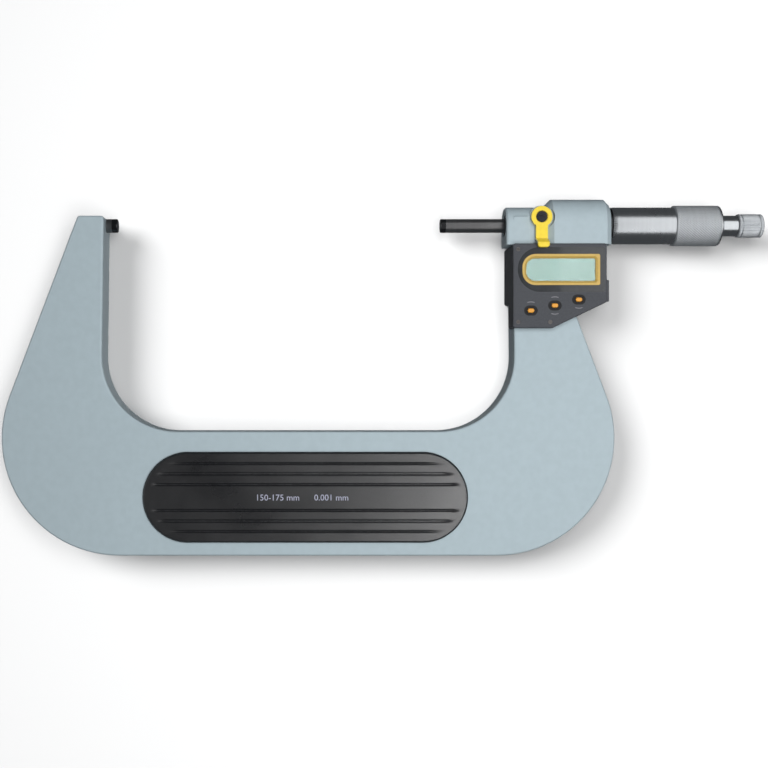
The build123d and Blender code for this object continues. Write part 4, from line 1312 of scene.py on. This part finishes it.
SOFT_BOXES = (
    SoftBox("overhead", (0.21, -0.05, 0.6), (0.21, -0.05, 0.0), (0.3, 0.6), 4.1, Rays.GLOSSY),
    SoftBox("tall_box", (0.84, 0.0, 1.15), (0.84, 0.0, 0.0), (0.8, 2.6), 9.6, Rays.DIFFUSE),
    SoftBox("sheen", (0.5, -0.34, 1.15), (0.5, -0.34, 0.0), (0.3, 0.7), 14.0, Rays.DIFFUSE),
    SoftBox("left_box", (-1.3, 0.0, 0.75), (0.3, 0.0, 0.1), (1.0, 2.2), 7.0, Rays.DIFFUSE),
    SoftBox("right_box", (1.9, 0.0, 0.75), (0.3, 0.0, 0.1), (1.0, 2.2), 7.0, Rays.DIFFUSE),
    SoftBox("under", (0.14, -0.07, -0.9), (0.14, -0.07, 0.0), (0.9, 0.9), 13.0, Rays.GLOSSY),
)


def light_only(light: bpy.types.Object, things: Sequence[bpy.types.Object]) -> None:
    """Keeps a light to some objects.

    Args:
        light: the light.
        things: the objects that it falls on.
    """
    receivers = bpy.data.collections.new(f"{light.name}_receivers")
    for thing in things:
        receivers.objects.link(thing)
    light.light_linking.receiver_collection = receivers


@dataclass
class Studio:
    """Floor, lights and camera."""

    camera_x: float = 94.1
    camera_y: float = -73.6
    camera_height: float = 540.0
    half_view: float = 178.9  # half the width seen at height 0
    shift: float = 0.0833
    floor_size: float = 8.0
    floor_gap: float = 0.05  # between the floor and the object
    floor_tone: Colour = (0.57, 0.57, 0.57)
    sun_from: Place = (-0.9, 0.52, 1.05)
    sun_strength: float = 4.1  # watts per square metre
    sun_width: float = 0.6  # in the sky, in radians
    backdrop: Colour = (0.97, 0.97, 0.97)
    room_tone: Colour = (0.9, 0.95, 1.0)
    room_strength: tuple[float, float] = (0.12, 0.09)  # what things get, and what they reflect

    def camera(self) -> None:
        """A camera straight above the object, with its frame moved to the right of its axis."""
        data = bpy.data.cameras.new("camera")
        data.sensor_width = 36.0
        data.lens = data.sensor_width / 2 * self.camera_height / self.half_view
        data.shift_x = self.shift
        data.clip_start, data.clip_end = 0.01, 100.0
        holder = bpy.data.objects.new("camera", data)
        holder.location = (self.camera_x * MM, self.camera_y * MM, self.camera_height * MM)
        bpy.context.scene.collection.objects.link(holder)
        bpy.context.scene.camera = holder

    def floor(self, height: float) -> bpy.types.Object:
        """A plain pale floor under the object, that can't be seen from below.

        Args:
            height: its height, in metres.

        Returns:
            The floor.
        """
        half = self.floor_size / 2
        mesh = bpy.data.meshes.new("floor")
        corners = [(x * half, y * half, height) for x, y in ((-1, -1), (1, -1), (1, 1), (-1, 1))]
        mesh.from_pydata(corners, [], [(0, 1, 2, 3)])
        floor = bpy.data.objects.new("floor", mesh)
        bpy.context.scene.collection.objects.link(floor)
        material = bpy.data.materials.new("floor_white")
        material.use_nodes = True
        tree = Tree(material.node_tree)
        material.node_tree.nodes.clear()
        pale = tree.node("ShaderNodeBsdfDiffuse", Color=(*self.floor_tone, 1.0)).outputs[0]
        clear = tree.node("ShaderNodeBsdfTransparent").outputs[0]
        under = tree.node("ShaderNodeNewGeometry").outputs["Backfacing"]
        mix = tree.node("ShaderNodeMixShader", under, pale, clear)
        tree.node("ShaderNodeOutputMaterial", mix.outputs[0])
        mesh.materials.append(material)
        floor.visible_glossy = False
        floor.visible_diffuse = False
        floor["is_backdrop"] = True
        return floor

    def lights(self, floor: bpy.types.Object, plates: Sequence[bpy.types.Object]) -> None:
        """The soft boxes, and a soft sun whose shadows only the floor shows.

        Args:
            floor: the floor, the only thing that the sun falls on.
            plates: the grip plates, the only things that the sheen light falls on.
        """
        boxes = {box.name: box.build() for box in SOFT_BOXES}
        light_only(boxes["sheen"], plates)
        data = bpy.data.lights.new("sun", "SUN")
        data.energy, data.angle = self.sun_strength, self.sun_width
        light_only(hang(data, self.sun_from, -Vector(self.sun_from)), [floor])

    def room(self) -> None:
        """A bright backdrop for the camera, and a dim room for the light that falls on things."""
        world = bpy.data.worlds.new("room")
        bpy.context.scene.world = world
        world.use_nodes = True
        tree = Tree(world.node_tree)
        world.node_tree.nodes.clear()
        seen = tree.node("ShaderNodeBackground", Color=(*self.backdrop, 1.0), Strength=1.0)
        path = tree.node("ShaderNodeLightPath")
        dim = tree.spread(path.outputs["Is Glossy Ray"], 0.0, 1.0, *self.room_strength)
        felt = tree.node("ShaderNodeBackground", Color=(*self.room_tone, 1.0), Strength=dim)
        camera = path.outputs["Is Camera Ray"]
        mix = tree.node("ShaderNodeMixShader", camera, felt.outputs[0], seen.outputs[0])
        tree.node("ShaderNodeOutputWorld", mix.outputs[0])

    def build(self, low: Vector, plates: Sequence[bpy.types.Object]) -> None:
        """Makes the camera, the floor, the lights and the room.

        Args:
            low: the lowest corner of the object.
            plates: the grip plates.
        """
        self.camera()
        self.lights(self.floor(low.z - self.floor_gap * MM), plates)
        self.room()
        bpy.context.scene.view_settings.view_transform = "Standard"


def main() -> None:
    """Builds the object's looks round the CAD model."""
    logging.basicConfig(level=logging.INFO, format="%(message)s")
    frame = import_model()
    low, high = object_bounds()
    CadNodes(frame["nodes"]).build()
    for part in (GripPlates(), Thimble(), Sleeve(), RatchetKnob(), LockLever(), Display()):
        part.build()
    Studio().build(low, [bpy.data.objects[name] for name in ("grip_plate_front", "grip_plate_rear")])


if __name__ == "__main__":
    main()
